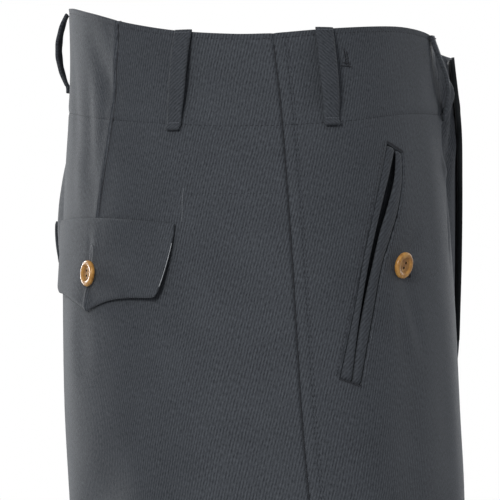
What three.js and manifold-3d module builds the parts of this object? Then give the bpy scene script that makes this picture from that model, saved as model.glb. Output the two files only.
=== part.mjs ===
// High-waisted riding jodhpurs in heavy wool twill, filled out as worn, in millimetres.
// +Z is up and the wearer faces -Y, so the wearer's right side is -X.
// The origin is the middle of the waist opening, 31 mm below the top edge at the side seams.
//
// The cloth is four panels, front and back of each leg, that run from the waist to the ankle.
// Each panel is a wall swept through level sections. A section is worked out for one half of
// the body, in distances from the centre plane, and is turned to the right or the left side.
// A place on a panel is given as the maker would measure it: the distance along the cloth from
// the centre seam or the inseam, called "along", and the height.
import * as THREE from "three";
import Module from "manifold-3d";
import { mergeVertices } from "three/addons/utils/BufferGeometryUtils.js";

const wasm = await Module();
wasm.setup();

// Cloth and seams
const clothWall = 1.6;
const liningWall = 0.9;
const seamGap = 0.3;
const layGap = 0.6;
// A panel's flat facets sag inward between its points, so pieces inside it lie further off.
const insideGap = 0.95;

// Heights of the main lines
const crotchZ = -275;
const hemZ = -1020;

// Grid of a panel: rows above and below the crotch, and columns across
const rowsAbove = 17;
const rowsBelow = 24;
const columns = 13;

// The seat seam leaves the straight centre line and turns under the body to this point.
const crotchY = 12;
const frontTurnZ = -125;
const backTurnZ = -125;
const seatCurve = 2.1;

// One row for each level. side: centre plane to side seam. front, back: how far the cloth
// reaches forward and back. seam: how far forward the side seam lies. crest: how far out from
// the centre plane the cloth reaches furthest forward and back. inner: centre plane to inseam.
// inseam: how far back the inseam lies. round: 2 is an ellipse, more is squarer.
const levels = [
  { z: 62, side: 151, front: 102.5, back: 119.5, seam: 4, crest: 0, inner: 0, inseam: 12, round: 2.12 },
  { z: 25, side: 152, front: 105, back: 118.5, seam: 5.7, crest: 0, inner: 0, inseam: 12, round: 2.12 },
  { z: -10, side: 158, front: 109, back: 119.3, seam: 9.5, crest: 0, inner: 0, inseam: 12, round: 2.14 },
  { z: -50, side: 171, front: 113, back: 121.5, seam: 12.5, crest: 0, inner: 0, inseam: 12, round: 2.16 },
  { z: -95, side: 183, front: 116.3, back: 122.6, seam: 15.5, crest: 0, inner: 0, inseam: 12, round: 2.16 },
  { z: -140, side: 195, front: 117.5, back: 121.6, seam: 18, crest: 18, inner: 0, inseam: 12, round: 2.12 },
  { z: -190, side: 213, front: 117.9, back: 118.8, seam: 21, crest: 50, inner: 0, inseam: 12, round: 2.06 },
  { z: -240, side: 234, front: 119, back: 114.4, seam: 25, crest: 78, inner: 0, inseam: 12, round: 1.98 },
  { z: -290, side: 252, front: 119, back: 111, seam: 26, crest: 92, inner: 4.5, inseam: 12, round: 1.9 },
  { z: -340, side: 263, front: 116, back: 109, seam: 24, crest: 100, inner: 13.5, inseam: 11, round: 1.84 },
  { z: -390, side: 264, front: 111, back: 106, seam: 20, crest: 102, inner: 19.5, inseam: 10, round: 1.82 },
  { z: -440, side: 251, front: 103, back: 101, seam: 15, crest: 102, inner: 24, inseam: 9, round: 1.84 },
  { z: -490, side: 226, front: 92, back: 93, seam: 9, crest: 101, inner: 28, inseam: 8, round: 1.88 },
  { z: -540, side: 195, front: 80, back: 82, seam: 4, crest: 99, inner: 31, inseam: 6, round: 1.94 },
  { z: -590, side: 171, front: 69, back: 72, seam: 0, crest: 98, inner: 34, inseam: 4, round: 2 },
  { z: -640, side: 161, front: 62, back: 67, seam: -3, crest: 98, inner: 37, inseam: 5, round: 2 },
  { z: -730, side: 162, front: 54, back: 76, seam: -10, crest: 100, inner: 39, inseam: 12, round: 2 },
  { z: -850, side: 159, front: 48, back: 73, seam: -12, crest: 102, inner: 44, inseam: 13, round: 2 },
  { z: -950, side: 155, front: 43, back: 67, seam: -12, crest: 103, inner: 51, inseam: 12, round: 2 },
  { z: -1025, side: 154, front: 41, back: 66, seam: -12.5, crest: 104, inner: 54, inseam: 12.5, round: 2 },
];

// Height of the top edge: on the front from the centre (0) to the side seam (1).
const frontTop = [
  { at: 0, z: 24.5 },
  { at: 0.1, z: 27.5 },
  { at: 0.2, z: 33 },
  { at: 0.3, z: 36.4 },
  { at: 0.42, z: 37.4 },
  { at: 0.58, z: 37.2 },
  { at: 0.8, z: 34.2 },
  { at: 1, z: 30.4 },
];

// The same on the back, from the peak at the centre (0) to the side seam (1).
const backTop = [
  { at: 0, z: 55.8 },
  { at: 0.2, z: 52.6 },
  { at: 0.4, z: 46.2 },
  { at: 0.58, z: 38.4 },
  { at: 0.75, z: 32.6 },
  { at: 0.9, z: 30.2 },
  { at: 1, z: 30.4 },
];

// How far the two fronts rise forward beside the fly, at each height.
const flyRise = [
  { z: 62, rise: 8 },
  { z: 15, rise: 8.5 },
  { z: -20, rise: 8 },
  { z: -50, rise: 5.5 },
  { z: -95, rise: 2 },
  { z: -140, rise: 0 },
  { z: -200, rise: 0 },
];
const flyRiseFrom = 8;
const flyRiseTo = 52;

// The largest folds. They have mirror images on the other leg, unless a side is named.
// fromSide: distance from the side seam. tilt: degrees from level, rising to the centre.
// A negative depth is a trough.
const folds = [
  { panel: "back", side: "left", fromSide: 219, z: -82, tilt: 88, length: 124, width: 26, depth: 7.5 },
  { panel: "front", fromSide: 62, z: -512, tilt: 33, length: 150, width: 20, depth: -7 },
  { panel: "front", fromSide: 40, z: -556, tilt: 24, length: 120, width: 17, depth: -6 },
  { panel: "front", fromSide: 95, z: -455, tilt: 46, length: 140, width: 26, depth: -5 },
  { panel: "back", fromSide: 55, z: -520, tilt: 30, length: 140, width: 20, depth: -7 },
  { panel: "back", fromSide: 62, z: -572, tilt: 16, length: 120, width: 17, depth: -5.5 },
  { panel: "back", fromSide: 150, z: -238, tilt: -28, length: 120, width: 22, depth: -5 },
  { panel: "front", fromSide: 215, z: -252, tilt: -32, length: 95, width: 16, depth: -4 },
  { panel: "back", fromSide: 85, z: -635, tilt: 5, length: 95, width: 15, depth: -4 },
  { panel: "front", fromSide: 80, z: -948, tilt: -8, length: 85, width: 15, depth: -2.5 },
  { panel: "back", fromSide: 70, z: -905, tilt: 9, length: 85, width: 16, depth: -2.5 },
];
const foldFreeEdge = 16;

// Fly: the left front laps over the right and stands off it by the lift at each height. The
// lap is full down to a row of the panels' grid, flyRow, and gone at the next.
const flyLap = 8;
const flyRow = 9;
const flyLift = [
  { z: 62, lift: 4.4 },
  { z: -80, lift: 4.4 },
  { z: -150, lift: 3.7 },
  { z: -180, lift: 2.8 },
  { z: -205, lift: 2.2 },
  { z: -240, lift: 0 },
  { z: -275, lift: 0 },
];
const flyLiftEnd = 50;
const facingFootZ = -148;
const facingWidth = 34;
const guardWidth = 40;

// Belt loops. fromSide: distance from the side seam at the top and at the foot of the loop.
const loopWidth = 10;
const loopWall = 1.8;
const loops = [
  { name: "front", panel: "front", fromSideTop: 155, fromSideFoot: 166, length: 47, stand: 7.6 },
  { name: "side_front", panel: "front", fromSideTop: 29.4, fromSideFoot: 28.3, length: 55, stand: 3.6 },
  { name: "side_back", panel: "back", fromSideTop: 52, fromSideFoot: 64.5, length: 56.5, stand: 3.6 },
];
const centreLoop = { drop: 2.8, length: 50, stand: 6.3 };

// Hip pocket flap, measured from its point
const flapFromSide = 142;
const flapTopZ = -75;
const flapHalfTop = 77;
const flapSlant = 12;
const flapCornerDrop = 43;
const flapPointDrop = 8.6;
const flapWall = 1.8;
const flapButtonDrop = 31.8;

// Slanted front pocket: the slit's ends, its gape and its two welts
const slit = {
  top: { fromSide: 75.8, z: -34.5 },
  foot: { fromSide: 28.6, z: -165.5 },
  gape: 3.2,
  weltWidth: 6.2,
  weltWall: 1.2,
  bearerWidth: 22,
};
const frontButton = { fromSide: 72.2, z: -101.6 };

// Two-hole buttons of polished nut
const buttonRadius = 7.6;
const buttonHeight = 3;
const buttonHoleRadius = 0.78;
const buttonHoleSpacing = 3.1;

const clothColour = 0x43464a;
const liningColour = 0x3a3336;
const nutColour = 0xb57a3c;

const clamp = (value, low, high) => Math.min(high, Math.max(low, value));

function smooth(from, to, value) {
  const t = clamp((value - from) / (to - from), 0, 1);
  return t * t * (3 - 2 * t);
}

// A smooth curve through the rows of a table, read in one named column.
function through(rows, key, column, at) {
  const falling = rows[0][key] > rows[rows.length - 1][key];
  const sign = falling ? -1 : 1;
  let i = 0;
  while (i < rows.length - 2 && sign * at > sign * rows[i + 1][key]) i += 1;
  const [a, b] = [rows[i], rows[i + 1]];
  const before = rows[Math.max(i - 1, 0)];
  const after = rows[Math.min(i + 2, rows.length - 1)];
  const span = b[key] - a[key];
  const t = clamp((at - a[key]) / span, 0, 1);
  const slopeA = ((b[column] - before[column]) / (b[key] - before[key])) * span;
  const slopeB = ((after[column] - a[column]) / (after[key] - a[key])) * span;
  const [t2, t3] = [t * t, t * t * t];
  return (
    (2 * t3 - 3 * t2 + 1) * a[column] +
    (t3 - 2 * t2 + t) * slopeA +
    (3 * t2 - 2 * t3) * b[column] +
    (t3 - t2) * slopeB
  );
}

const level = (z, column) => through(levels, "z", column, z);

// How far the centre seam lies forward (front panel) or back (back panel) at a height.
function centreReach(panel, z) {
  const front = panel === "front";
  const turnZ = front ? frontTurnZ : backTurnZ;
  const full = level(z, panel);
  const point = (front ? -1 : 1) * crotchY;
  const t = clamp((turnZ - z) / (turnZ - crotchZ), 0, 1);
  return point + (full - point) * Math.pow(1 - Math.pow(t, seatCurve), 1 / seatCurve);
}

// The section of one panel at a height: points from the centre seam or inseam to the side
// seam, as distances from the centre plane and Y, with the running length along them.
const sections = new Map();
const quarterSteps = 20;

function section(panel, z) {
  const key = panel + z.toFixed(3);
  if (sections.has(key)) return sections.get(key);
  const sign = panel === "front" ? -1 : 1;
  const below = z <= crotchZ;
  const [reach, side, crest] = [level(z, panel), level(z, "side"), level(z, "crest")];
  const inner = below ? level(z, "inner") * smooth(0, 12, crotchZ - z) : 0;
  const start = below ? sign * level(z, "inseam") : centreReach(panel, z);
  const seam = -sign * level(z, "seam");
  const power = 2 / level(z, "round");
  const points = [];
  if (crest > 0.5) {
    for (let i = 0; i < quarterSteps; i += 1) {
      const turn = (i / quarterSteps) * (Math.PI / 2);
      const across = crest - (crest - inner) * Math.cos(turn);
      points.push([across, sign * (start + (reach - start) * Math.sin(turn))]);
    }
  }
  for (let i = 0; i <= quarterSteps; i += 1) {
    const turn = (i / quarterSteps) * (Math.PI / 2);
    const out = Math.pow(Math.sin(turn), power);
    const on = Math.pow(Math.max(Math.cos(turn), 0), power);
    const from = crest > 0.5 ? crest : 0;
    points.push([from + (side - from) * out, sign * (seam + (reach - seam) * on)]);
  }
  const lengths = [0];
  for (let i = 1; i < points.length; i += 1) {
    const step = Math.hypot(points[i][0] - points[i - 1][0], points[i][1] - points[i - 1][1]);
    lengths.push(lengths[i - 1] + step);
  }
  const made = { points, lengths, length: lengths[lengths.length - 1] };
  sections.set(key, made);
  return made;
}

// A point of the undisturbed cloth. Negative "along" is the lap past the centre line.
function plainPoint(panel, along, z) {
  const { points, lengths, length } = section(panel, z);
  const run = clamp(Math.abs(along), 0, length);
  let i = 0;
  while (i < lengths.length - 2 && lengths[i + 1] < run) i += 1;
  const t = (run - lengths[i]) / Math.max(lengths[i + 1] - lengths[i], 1e-6);
  const x = points[i][0] + (points[i + 1][0] - points[i][0]) * t;
  const y = points[i][1] + (points[i + 1][1] - points[i][1]) * t;
  return new THREE.Vector3(along < 0 ? -x : x, y, z);
}

function outward(panel, along, z) {
  const reach = 5;
  const straight = z > (panel === "front" ? frontTurnZ : backTurnZ);
  const low = straight || along < 0 ? along - reach : Math.max(along - reach, 0);
  const high = Math.min(along + reach, section(panel, z).length);
  const across = plainPoint(panel, high, z).sub(plainPoint(panel, low, z));
  const up = plainPoint(panel, along, z + reach).sub(plainPoint(panel, along, z - reach));
  const normal = across.cross(up).normalize();
  return panel === "front" ? normal : normal.negate();
}

// How far the folds move the cloth out. It fades away near the centre seam and the inseam.
function relief(panel, side, along, z) {
  const length = section(panel, z).length;
  const fromSide = length - along;
  let sum = 0;
  for (const fold of folds) {
    if (fold.panel !== panel || (fold.side && fold.side !== side)) continue;
    const tilt = THREE.MathUtils.degToRad(fold.tilt);
    const [du, dv] = [fromSide - fold.fromSide, z - fold.z];
    const run = (du * Math.cos(tilt) + dv * Math.sin(tilt)) / (fold.length / 2);
    const off = (dv * Math.cos(tilt) - du * Math.sin(tilt)) / fold.width;
    if (Math.abs(run) < 1) sum += fold.depth * (1 - run * run) ** 2 * Math.exp(-off * off);
  }
  sum *= smooth(1, foldFreeEdge, along) * smooth(1, foldFreeEdge, fromSide);
  if (panel === "back") return sum;
  return sum + through(flyRise, "z", "rise", z) * (1 - smooth(flyRiseFrom, flyRiseTo, along));
}

// The left front stands off the right one along the fly.
function lapLift(panel, side, along, z) {
  if (panel !== "front" || side !== "left") return 0;
  return through(flyLift, "z", "lift", z) * (1 - smooth(flyLap, flyLiftEnd, along));
}

// The way out of the cloth at a place, on one side of the body.
function facing(panel, side, along, z) {
  const normal = outward(panel, along, z);
  if (side === "right") normal.x = -normal.x;
  return normal;
}

// A point of the folded cloth, moved out from its outer face by "out".
function clothPoint(panel, side, along, z, out) {
  const point = plainPoint(panel, along, z);
  if (side === "right") point.x = -point.x;
  const move = out + relief(panel, side, Math.max(along, 0), z) + lapLift(panel, side, along, z);
  return point.addScaledVector(facing(panel, side, along, z), move);
}

function topZ(panel, share) {
  return through(panel === "front" ? frontTop : backTop, "at", "z", clamp(share, 0, 1));
}

// Heights of the rows at the centre edge, evenly spaced along the seat seam.
function centreHeights(panel) {
  const steps = 400;
  const path = [];
  for (let i = 0; i <= steps; i += 1) {
    const z = topZ(panel, 0) + (crotchZ - topZ(panel, 0)) * Math.sin((i / steps) * (Math.PI / 2));
    const last = path[path.length - 1];
    const y = centreReach(panel, z);
    path.push({ z, y, run: last ? last.run + Math.hypot(z - last.z, y - last.y) : 0 });
  }
  const total = path[steps].run;
  const heights = [];
  for (let row = 0; row <= rowsAbove; row += 1) {
    heights.push(path.find((p) => p.run >= (total * row) / rowsAbove - 1e-6).z);
  }
  return heights;
}

const rowHeights = { front: centreHeights("front"), back: centreHeights("back") };

// Height of a grid row at a share of the way from the centre edge to the side seam.
function rowZ(panel, row, share) {
  if (row >= rowsAbove) return crotchZ + ((hemZ - crotchZ) * (row - rowsAbove)) / rowsBelow;
  const down = row / rowsAbove;
  const top = topZ(panel, share);
  const atCentre = rowHeights[panel][row] - topZ(panel, 0) * (1 - down);
  const atSide = crotchZ * down;
  return top * (1 - down) + atSide + (atCentre - atSide) * (1 - smooth(0, 1, share));
}

// A closed wall from two grids of points, outer and inner, joined round their edges.
function wallGeometry(outer, inner) {
  const [rows, cols] = [outer.length, outer[0].length];
  const positions = [...outer, ...inner].flat().flatMap((p) => [p.x, p.y, p.z]);
  const at = (layer, r, c) => layer * rows * cols + r * cols + c;
  const faces = [];
  const quad = (a, b, c, d) => faces.push(a, b, c, a, c, d);
  for (let r = 0; r < rows - 1; r += 1) {
    for (let c = 0; c < cols - 1; c += 1) {
      quad(at(0, r, c), at(0, r + 1, c), at(0, r + 1, c + 1), at(0, r, c + 1));
      quad(at(1, r, c), at(1, r, c + 1), at(1, r + 1, c + 1), at(1, r + 1, c));
    }
  }
  for (let r = 0; r < rows - 1; r += 1) {
    quad(at(0, r, 0), at(1, r, 0), at(1, r + 1, 0), at(0, r + 1, 0));
    quad(at(0, r, cols - 1), at(0, r + 1, cols - 1), at(1, r + 1, cols - 1), at(1, r, cols - 1));
  }
  for (let c = 0; c < cols - 1; c += 1) {
    quad(at(0, 0, c), at(0, 0, c + 1), at(1, 0, c + 1), at(1, 0, c));
    quad(at(0, rows - 1, c), at(1, rows - 1, c), at(1, rows - 1, c + 1), at(0, rows - 1, c + 1));
  }
  const geometry = new THREE.BufferGeometry();
  geometry.setAttribute("position", new THREE.Float32BufferAttribute(positions, 3));
  geometry.setIndex(faces);
  if (signedVolume(geometry) < 0) {
    for (let i = 0; i < faces.length; i += 3) [faces[i + 1], faces[i + 2]] = [faces[i + 2], faces[i + 1]];
    geometry.setIndex(faces);
  }
  geometry.computeVertexNormals();
  return geometry;
}

function signedVolume(geometry) {
  const position = geometry.getAttribute("position");
  const corners = [new THREE.Vector3(), new THREE.Vector3(), new THREE.Vector3()];
  let sum = 0;
  for (let i = 0; i < geometry.index.count; i += 3) {
    corners.forEach((corner, k) => corner.fromBufferAttribute(position, geometry.index.getX(i + k)));
    sum += corners[0].dot(corners[1].clone().cross(corners[2]));
  }
  return sum / 6;
}

// A wall laid on a panel: "place" gives the along and height of a grid point, and "out" how
// far its outer face stands off the panel.
function laidWall(panel, side, rows, cols, thickness, place, out) {
  const grid = (depth) =>
    Array.from({ length: rows + 1 }, (_, r) =>
      Array.from({ length: cols + 1 }, (_, c) => {
        const [along, z] = place(r / rows, c / cols);
        return onPanel(panel, side, along, z, out(r / rows, c / cols) - depth);
      }),
    );
  return wallGeometry(grid(0), grid(thickness));
}

function solidOf(geometry) {
  const bare = geometry.clone();
  for (const name of Object.keys(bare.attributes)) if (name !== "position") bare.deleteAttribute(name);
  const merged = mergeVertices(bare, 1e-4);
  return new wasm.Manifold(
    new wasm.Mesh({
      numProp: 3,
      vertProperties: merged.getAttribute("position").array,
      triVerts: new Uint32Array(merged.index.array),
    }),
  );
}

function geometryOf(solid) {
  const mesh = solid.getMesh();
  const geometry = new THREE.BufferGeometry();
  geometry.setAttribute("position", new THREE.BufferAttribute(new Float32Array(mesh.vertProperties), 3));
  geometry.setIndex(new THREE.BufferAttribute(new Uint32Array(mesh.triVerts), 1));
  geometry.computeVertexNormals();
  return geometry;
}

const jodhpurs = new THREE.Group();
const cloth = new THREE.MeshStandardMaterial({ color: clothColour, roughness: 0.9, metalness: 0 });
const lining = new THREE.MeshStandardMaterial({ color: liningColour, roughness: 0.8, metalness: 0 });
const nut = new THREE.MeshStandardMaterial({ color: nutColour, roughness: 0.35, metalness: 0 });

function add(name, geometry, material) {
  const mesh = new THREE.Mesh(geometry, material);
  mesh.name = name;
  jodhpurs.add(mesh);
  return mesh;
}

// Along of a place on the slanted pocket, t from its top to its foot, moved across the slit.
function slitPlace(t, across) {
  const fromSide = slit.top.fromSide + (slit.foot.fromSide - slit.top.fromSide) * t;
  const z = slit.top.z + (slit.foot.z - slit.top.z) * t;
  return [section("front", z).length - fromSide - across, z];
}

// Half the width of the slit, widest a quarter of the way down.
function slitHalf(t) {
  return 0.35 + (slit.gape / 2) * Math.sin(Math.PI * Math.pow(clamp(t, 0, 1), 0.55));
}

// Where a panel's centre edge starts: past the centre line on the left front, along the fly.
function centreStart(panel, side, z) {
  if (panel === "front" && side === "left") {
    const [full, gone] = [rowHeights.front[flyRow], rowHeights.front[flyRow + 1]];
    return seamGap / 2 - (flyLap + seamGap / 2) * smooth(gone, full, z);
  }
  return seamGap / 2;
}

const rows = rowsAbove + rowsBelow;
const panelGrids = new Map();

// The grid of points of a panel's outer face, or of its inner face a wall deeper.
function panelGrid(panel, side, depth) {
  const key = `${panel} ${side} ${depth}`;
  if (panelGrids.has(key)) return panelGrids.get(key);
  const grid = Array.from({ length: rows + 1 }, (_, row) =>
    Array.from({ length: columns + 1 }, (_, column) => {
      const share = column / columns;
      const z = rowZ(panel, row, share);
      const start = centreStart(panel, side, z);
      const end = section(panel, z).length - seamGap / 2;
      const point = clothPoint(panel, side, start + (end - start) * share, z, -depth);
      // The two halves keep a seam's gap at the centre plane below the fly.
      if (start > 0) point.x = (side === "right" ? -1 : 1) * Math.max(Math.abs(point.x), seamGap / 2);
      return point;
    }),
  );
  panelGrids.set(key, grid);
  return grid;
}

const panelGeometry = (panel, side) =>
  wallGeometry(panelGrid(panel, side, 0), panelGrid(panel, side, clothWall));

// A point on the flat facets of a finished panel, moved out from its outer face by "out".
function onPanel(panel, side, along, z, out = 0) {
  const grid = panelGrid(panel, side, 0);
  const start = centreStart(panel, side, z);
  const share = clamp((along - start) / (section(panel, z).length - seamGap / 2 - start), 0, 1);
  const column = Math.min(Math.floor(share * columns), columns - 1);
  let row = 0;
  while (row < rows - 1 && rowZ(panel, row + 1, share) > z) row += 1;
  const [above, below] = [rowZ(panel, row, share), rowZ(panel, row + 1, share)];
  const down = clamp((above - z) / (above - below), 0, 1);
  const over = share * columns - column;
  const [a, b] = [grid[row][column], grid[row + 1][column]];
  const [d, c] = [grid[row][column + 1], grid[row + 1][column + 1]];
  const point = a.clone();
  if (down >= over) {
    point.addScaledVector(b.clone().sub(a), down).addScaledVector(c.clone().sub(b), over);
  } else {
    point.addScaledVector(d.clone().sub(a), over).addScaledVector(c.clone().sub(d), down);
  }
  return point.addScaledVector(facing(panel, side, along, z), out);
}

// Panels, with the pocket slit cut through each front
for (const side of ["right", "left"]) {
  add(`back_${side}`, panelGeometry("back", side), cloth);
  const cutter = laidWall(
    "front",
    side,
    12,
    1,
    12,
    (t, across) => slitPlace(t, (across * 2 - 1) * (slitHalf(t) + 0.5)),
    () => 6,
  );
  add(`front_${side}`, geometryOf(solidOf(panelGeometry("front", side)).subtract(solidOf(cutter))), cloth);
}

// Welts on both lips of each slit, and the bearer of the same cloth that shows through it
for (const side of ["right", "left"]) {
  for (const [name, sign] of [["fore", 1], ["rear", -1]]) {
    const welt = laidWall(
      "front",
      side,
      14,
      1,
      slit.weltWall,
      (t, across) => slitPlace(t * 1.04 - 0.02, -sign * (slitHalf(t) + slit.weltWidth * across)),
      () => layGap + slit.weltWall,
    );
    add(`pocket_welt_${name}_${side}`, welt, cloth);
  }
  const bearer = laidWall(
    "front",
    side,
    12,
    2,
    liningWall,
    (t, across) => slitPlace(t * 1.1 - 0.05, (across - 0.5) * slit.bearerWidth),
    () => -clothWall - insideGap,
  );
  add(`pocket_bearer_${side}`, bearer, cloth);
}

// Hip pocket flaps with a point in the middle and hollowed edges beside it
function flapDrop(u) {
  const edge = Math.abs(u);
  const corner = edge > 0.88 ? 6 * ((edge - 0.88) / 0.12) ** 2 : 0;
  return flapCornerDrop + flapPointDrop * Math.pow(1 - edge, 2.6) - corner;
}

function flapPlace(down, u) {
  const drop = down * flapDrop(u);
  const half = flapHalfTop - flapSlant * Math.pow(drop / flapCornerDrop, 1.4);
  const z = flapTopZ - drop;
  return [section("back", z).length - flapFromSide + u * half, z];
}

const flapStand = (down, u) => layGap + 0.2 + down * (0.9 + 2.6 * Math.pow(Math.abs(u), 1.6));

for (const side of ["right", "left"]) {
  const flap = laidWall(
    "back",
    side,
    5,
    16,
    flapWall,
    (down, across) => flapPlace(down, across * 2 - 1),
    (down, across) => flapStand(down, across * 2 - 1) + flapWall,
  );
  add(`hip_flap_${side}`, flap, cloth);
}

// Belt loops: strips sewn down at the waist's top edge and at the band's foot
function loopGeometry(place, stand) {
  const steps = 14;
  const outer = [];
  const inner = [];
  for (let i = 0; i <= steps; i += 1) {
    const t = i / steps;
    const lift = layGap + stand * Math.pow(Math.sin(Math.PI * t), 0.8);
    outer.push([-1, 1].map((edge) => place(t, (edge * loopWidth) / 2, lift + loopWall)));
    inner.push([-1, 1].map((edge) => place(t, (edge * loopWidth) / 2, lift)));
  }
  return wallGeometry(outer, inner);
}

for (const side of ["right", "left"]) {
  for (const loop of loops) {
    const place = (t, across, out) => {
      const length = section(loop.panel, 30).length;
      const top = topZ(loop.panel, 1 - loop.fromSideTop / length);
      const z = top - 0.6 - loop.length * t;
      const fromSide = loop.fromSideTop + (loop.fromSideFoot - loop.fromSideTop) * t;
      return onPanel(loop.panel, side, section(loop.panel, z).length - fromSide + across, z, out);
    };
    add(`belt_loop_${loop.name}_${side}`, loopGeometry(place, loop.stand), cloth);
  }
}

// The centre back loop lies across the seat seam, so its two edges are on two panels.
const centrePlace = (t, across, out) => {
  const z = backTop[0].z - centreLoop.drop - centreLoop.length * t;
  return onPanel("back", across < 0 ? "right" : "left", Math.abs(across), z, out);
};
add("belt_loop_centre_back", loopGeometry(centrePlace, centreLoop.stand), cloth);

// Fly: a lining facing under the left edge, and a guard that runs on from the right front
const flyTop = topZ("front", 0) - 1.5;
const flyFootZ = rowHeights.front[flyRow];
const flyFacing = laidWall(
  "front",
  "left",
  14,
  3,
  liningWall,
  (t, across) => [-flyLap + 0.4 + facingWidth * across, flyTop + (facingFootZ - flyTop) * t],
  () => -clothWall - layGap,
);
add("fly_facing", flyFacing, lining);

function guardPoint(t, across, depth) {
  const z = flyTop + (flyFootZ - 12 - flyTop) * t;
  const along = seamGap / 2 + 0.15 + guardWidth * across;
  const point = plainPoint("front", along, z);
  const sink = depth + (clothWall + insideGap) * smooth(0, 0.3, across);
  return point.addScaledVector(outward("front", along, z), relief("front", "right", along, z) - sink);
}

function guardGrid(depth) {
  return Array.from({ length: 15 }, (_, r) =>
    Array.from({ length: 5 }, (_, c) => guardPoint(r / 14, c / 4, depth)),
  );
}
add("fly_guard", wallGeometry(guardGrid(0), guardGrid(clothWall)), cloth);

// Buttons: a turned disc with a raised rim and a dished middle, and two holes
function buttonGeometry() {
  const profile = [
    [0, 0],
    [buttonRadius * 0.78, 0],
    [buttonRadius, buttonHeight * 0.38],
    [buttonRadius * 0.97, buttonHeight * 0.8],
    [buttonRadius * 0.84, buttonHeight],
    [buttonRadius * 0.66, buttonHeight * 0.86],
    [buttonRadius * 0.5, buttonHeight * 0.62],
    [0, buttonHeight * 0.56],
  ].map(([x, y]) => new THREE.Vector2(x, y));
  const disc = new THREE.LatheGeometry(profile, 20);
  let solid = solidOf(disc);
  if (solid.volume() < 0) throw new Error("the button's profile runs the wrong way");
  for (const sign of [-1, 1]) {
    const hole = new THREE.CylinderGeometry(buttonHoleRadius, buttonHoleRadius, buttonHeight * 3, 8);
    hole.translate(0, 0, (sign * buttonHoleSpacing) / 2);
    solid = solid.subtract(solidOf(hole));
  }
  return geometryOf(solid);
}

// Sets a button on a panel with its face out and its two holes one above the other.
function addButton(name, panel, side, along, z, out) {
  const button = add(name, buttonGeometry(), nut);
  const foot = onPanel(panel, side, along, z, out);
  const face = facing(panel, side, along, z);
  const across = new THREE.Vector3(0, 0, 1).cross(face).normalize();
  const up = face.clone().cross(across);
  button.quaternion.setFromRotationMatrix(new THREE.Matrix4().makeBasis(across, face, up.negate()));
  button.position.copy(foot);
}

for (const side of ["right", "left"]) {
  const flapZ = flapTopZ - flapButtonDrop;
  const flapAlong = section("back", flapZ).length - flapFromSide;
  const flapOut = flapStand(flapButtonDrop / flapDrop(0), 0) + flapWall + 0.75;
  addButton(`flap_button_${side}`, "back", side, flapAlong, flapZ, flapOut);
  const frontAlong = section("front", frontButton.z).length - frontButton.fromSide;
  addButton(`front_button_${side}`, "front", side, frontAlong, frontButton.z, 0.75);
}

export default jodhpurs;
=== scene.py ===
"""High-waisted riding jodhpurs in slate-grey wool whipcord, seen from the wearer's right side.

Lengths in the tables are millimetres on the garment, as a tailor measures it. MM turns them to
metres. +Z is up, the wearer faces -Y, and the wearer's right side is -X.

A place on a panel is given by "along", the distance over the cloth from the centre seam or the
inseam, and by its height z. Fold and seam tables count from the side seam instead.
"""
import math

import bmesh
import bpy
import numpy as np
from mathutils import Matrix, Vector


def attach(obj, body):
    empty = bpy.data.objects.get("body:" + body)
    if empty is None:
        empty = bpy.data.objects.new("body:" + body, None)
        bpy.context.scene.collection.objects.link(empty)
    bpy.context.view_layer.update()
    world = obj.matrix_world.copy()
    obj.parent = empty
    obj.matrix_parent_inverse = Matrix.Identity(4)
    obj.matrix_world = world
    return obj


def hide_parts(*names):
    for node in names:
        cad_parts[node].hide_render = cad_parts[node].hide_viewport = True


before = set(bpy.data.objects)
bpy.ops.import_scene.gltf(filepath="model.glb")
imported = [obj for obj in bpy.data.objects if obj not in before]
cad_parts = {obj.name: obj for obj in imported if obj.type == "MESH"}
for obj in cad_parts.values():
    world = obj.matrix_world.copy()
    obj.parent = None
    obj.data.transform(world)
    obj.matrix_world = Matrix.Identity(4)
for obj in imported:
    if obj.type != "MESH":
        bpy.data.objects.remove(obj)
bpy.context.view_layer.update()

MM = 0.001
# The UV map of each piece holds flat cloth in units of this many millimetres.
UV_UNIT = 100

# Camera: level with the hip, on the wearer's right, nearly two metres away

CAMERA_PLACE = (-1900, 7.8, -92.8)
CAMERA_FRAME = 308.7
SENSOR = 36

camera_data = bpy.data.cameras.new("camera")
camera_data.sensor_width = SENSOR
camera_data.lens = SENSOR * -CAMERA_PLACE[0] / CAMERA_FRAME
camera = bpy.data.objects.new("camera", camera_data)
camera.location = [c * MM for c in CAMERA_PLACE]
camera.rotation_euler = (math.pi / 2, 0, -math.pi / 2)
bpy.context.scene.collection.objects.link(camera)
bpy.context.scene.camera = camera

# The garment's form

CLOTH = 1.6
SEAM_GAP = 0.04
LAY_GAP = 0.6
INSIDE_GAP = 0.95
CROTCH_Z = -275
HEM_Z = -1020
CROTCH_Y = 12
TURN_Z = -125
SEAT_CURVE = 2.1

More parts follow.
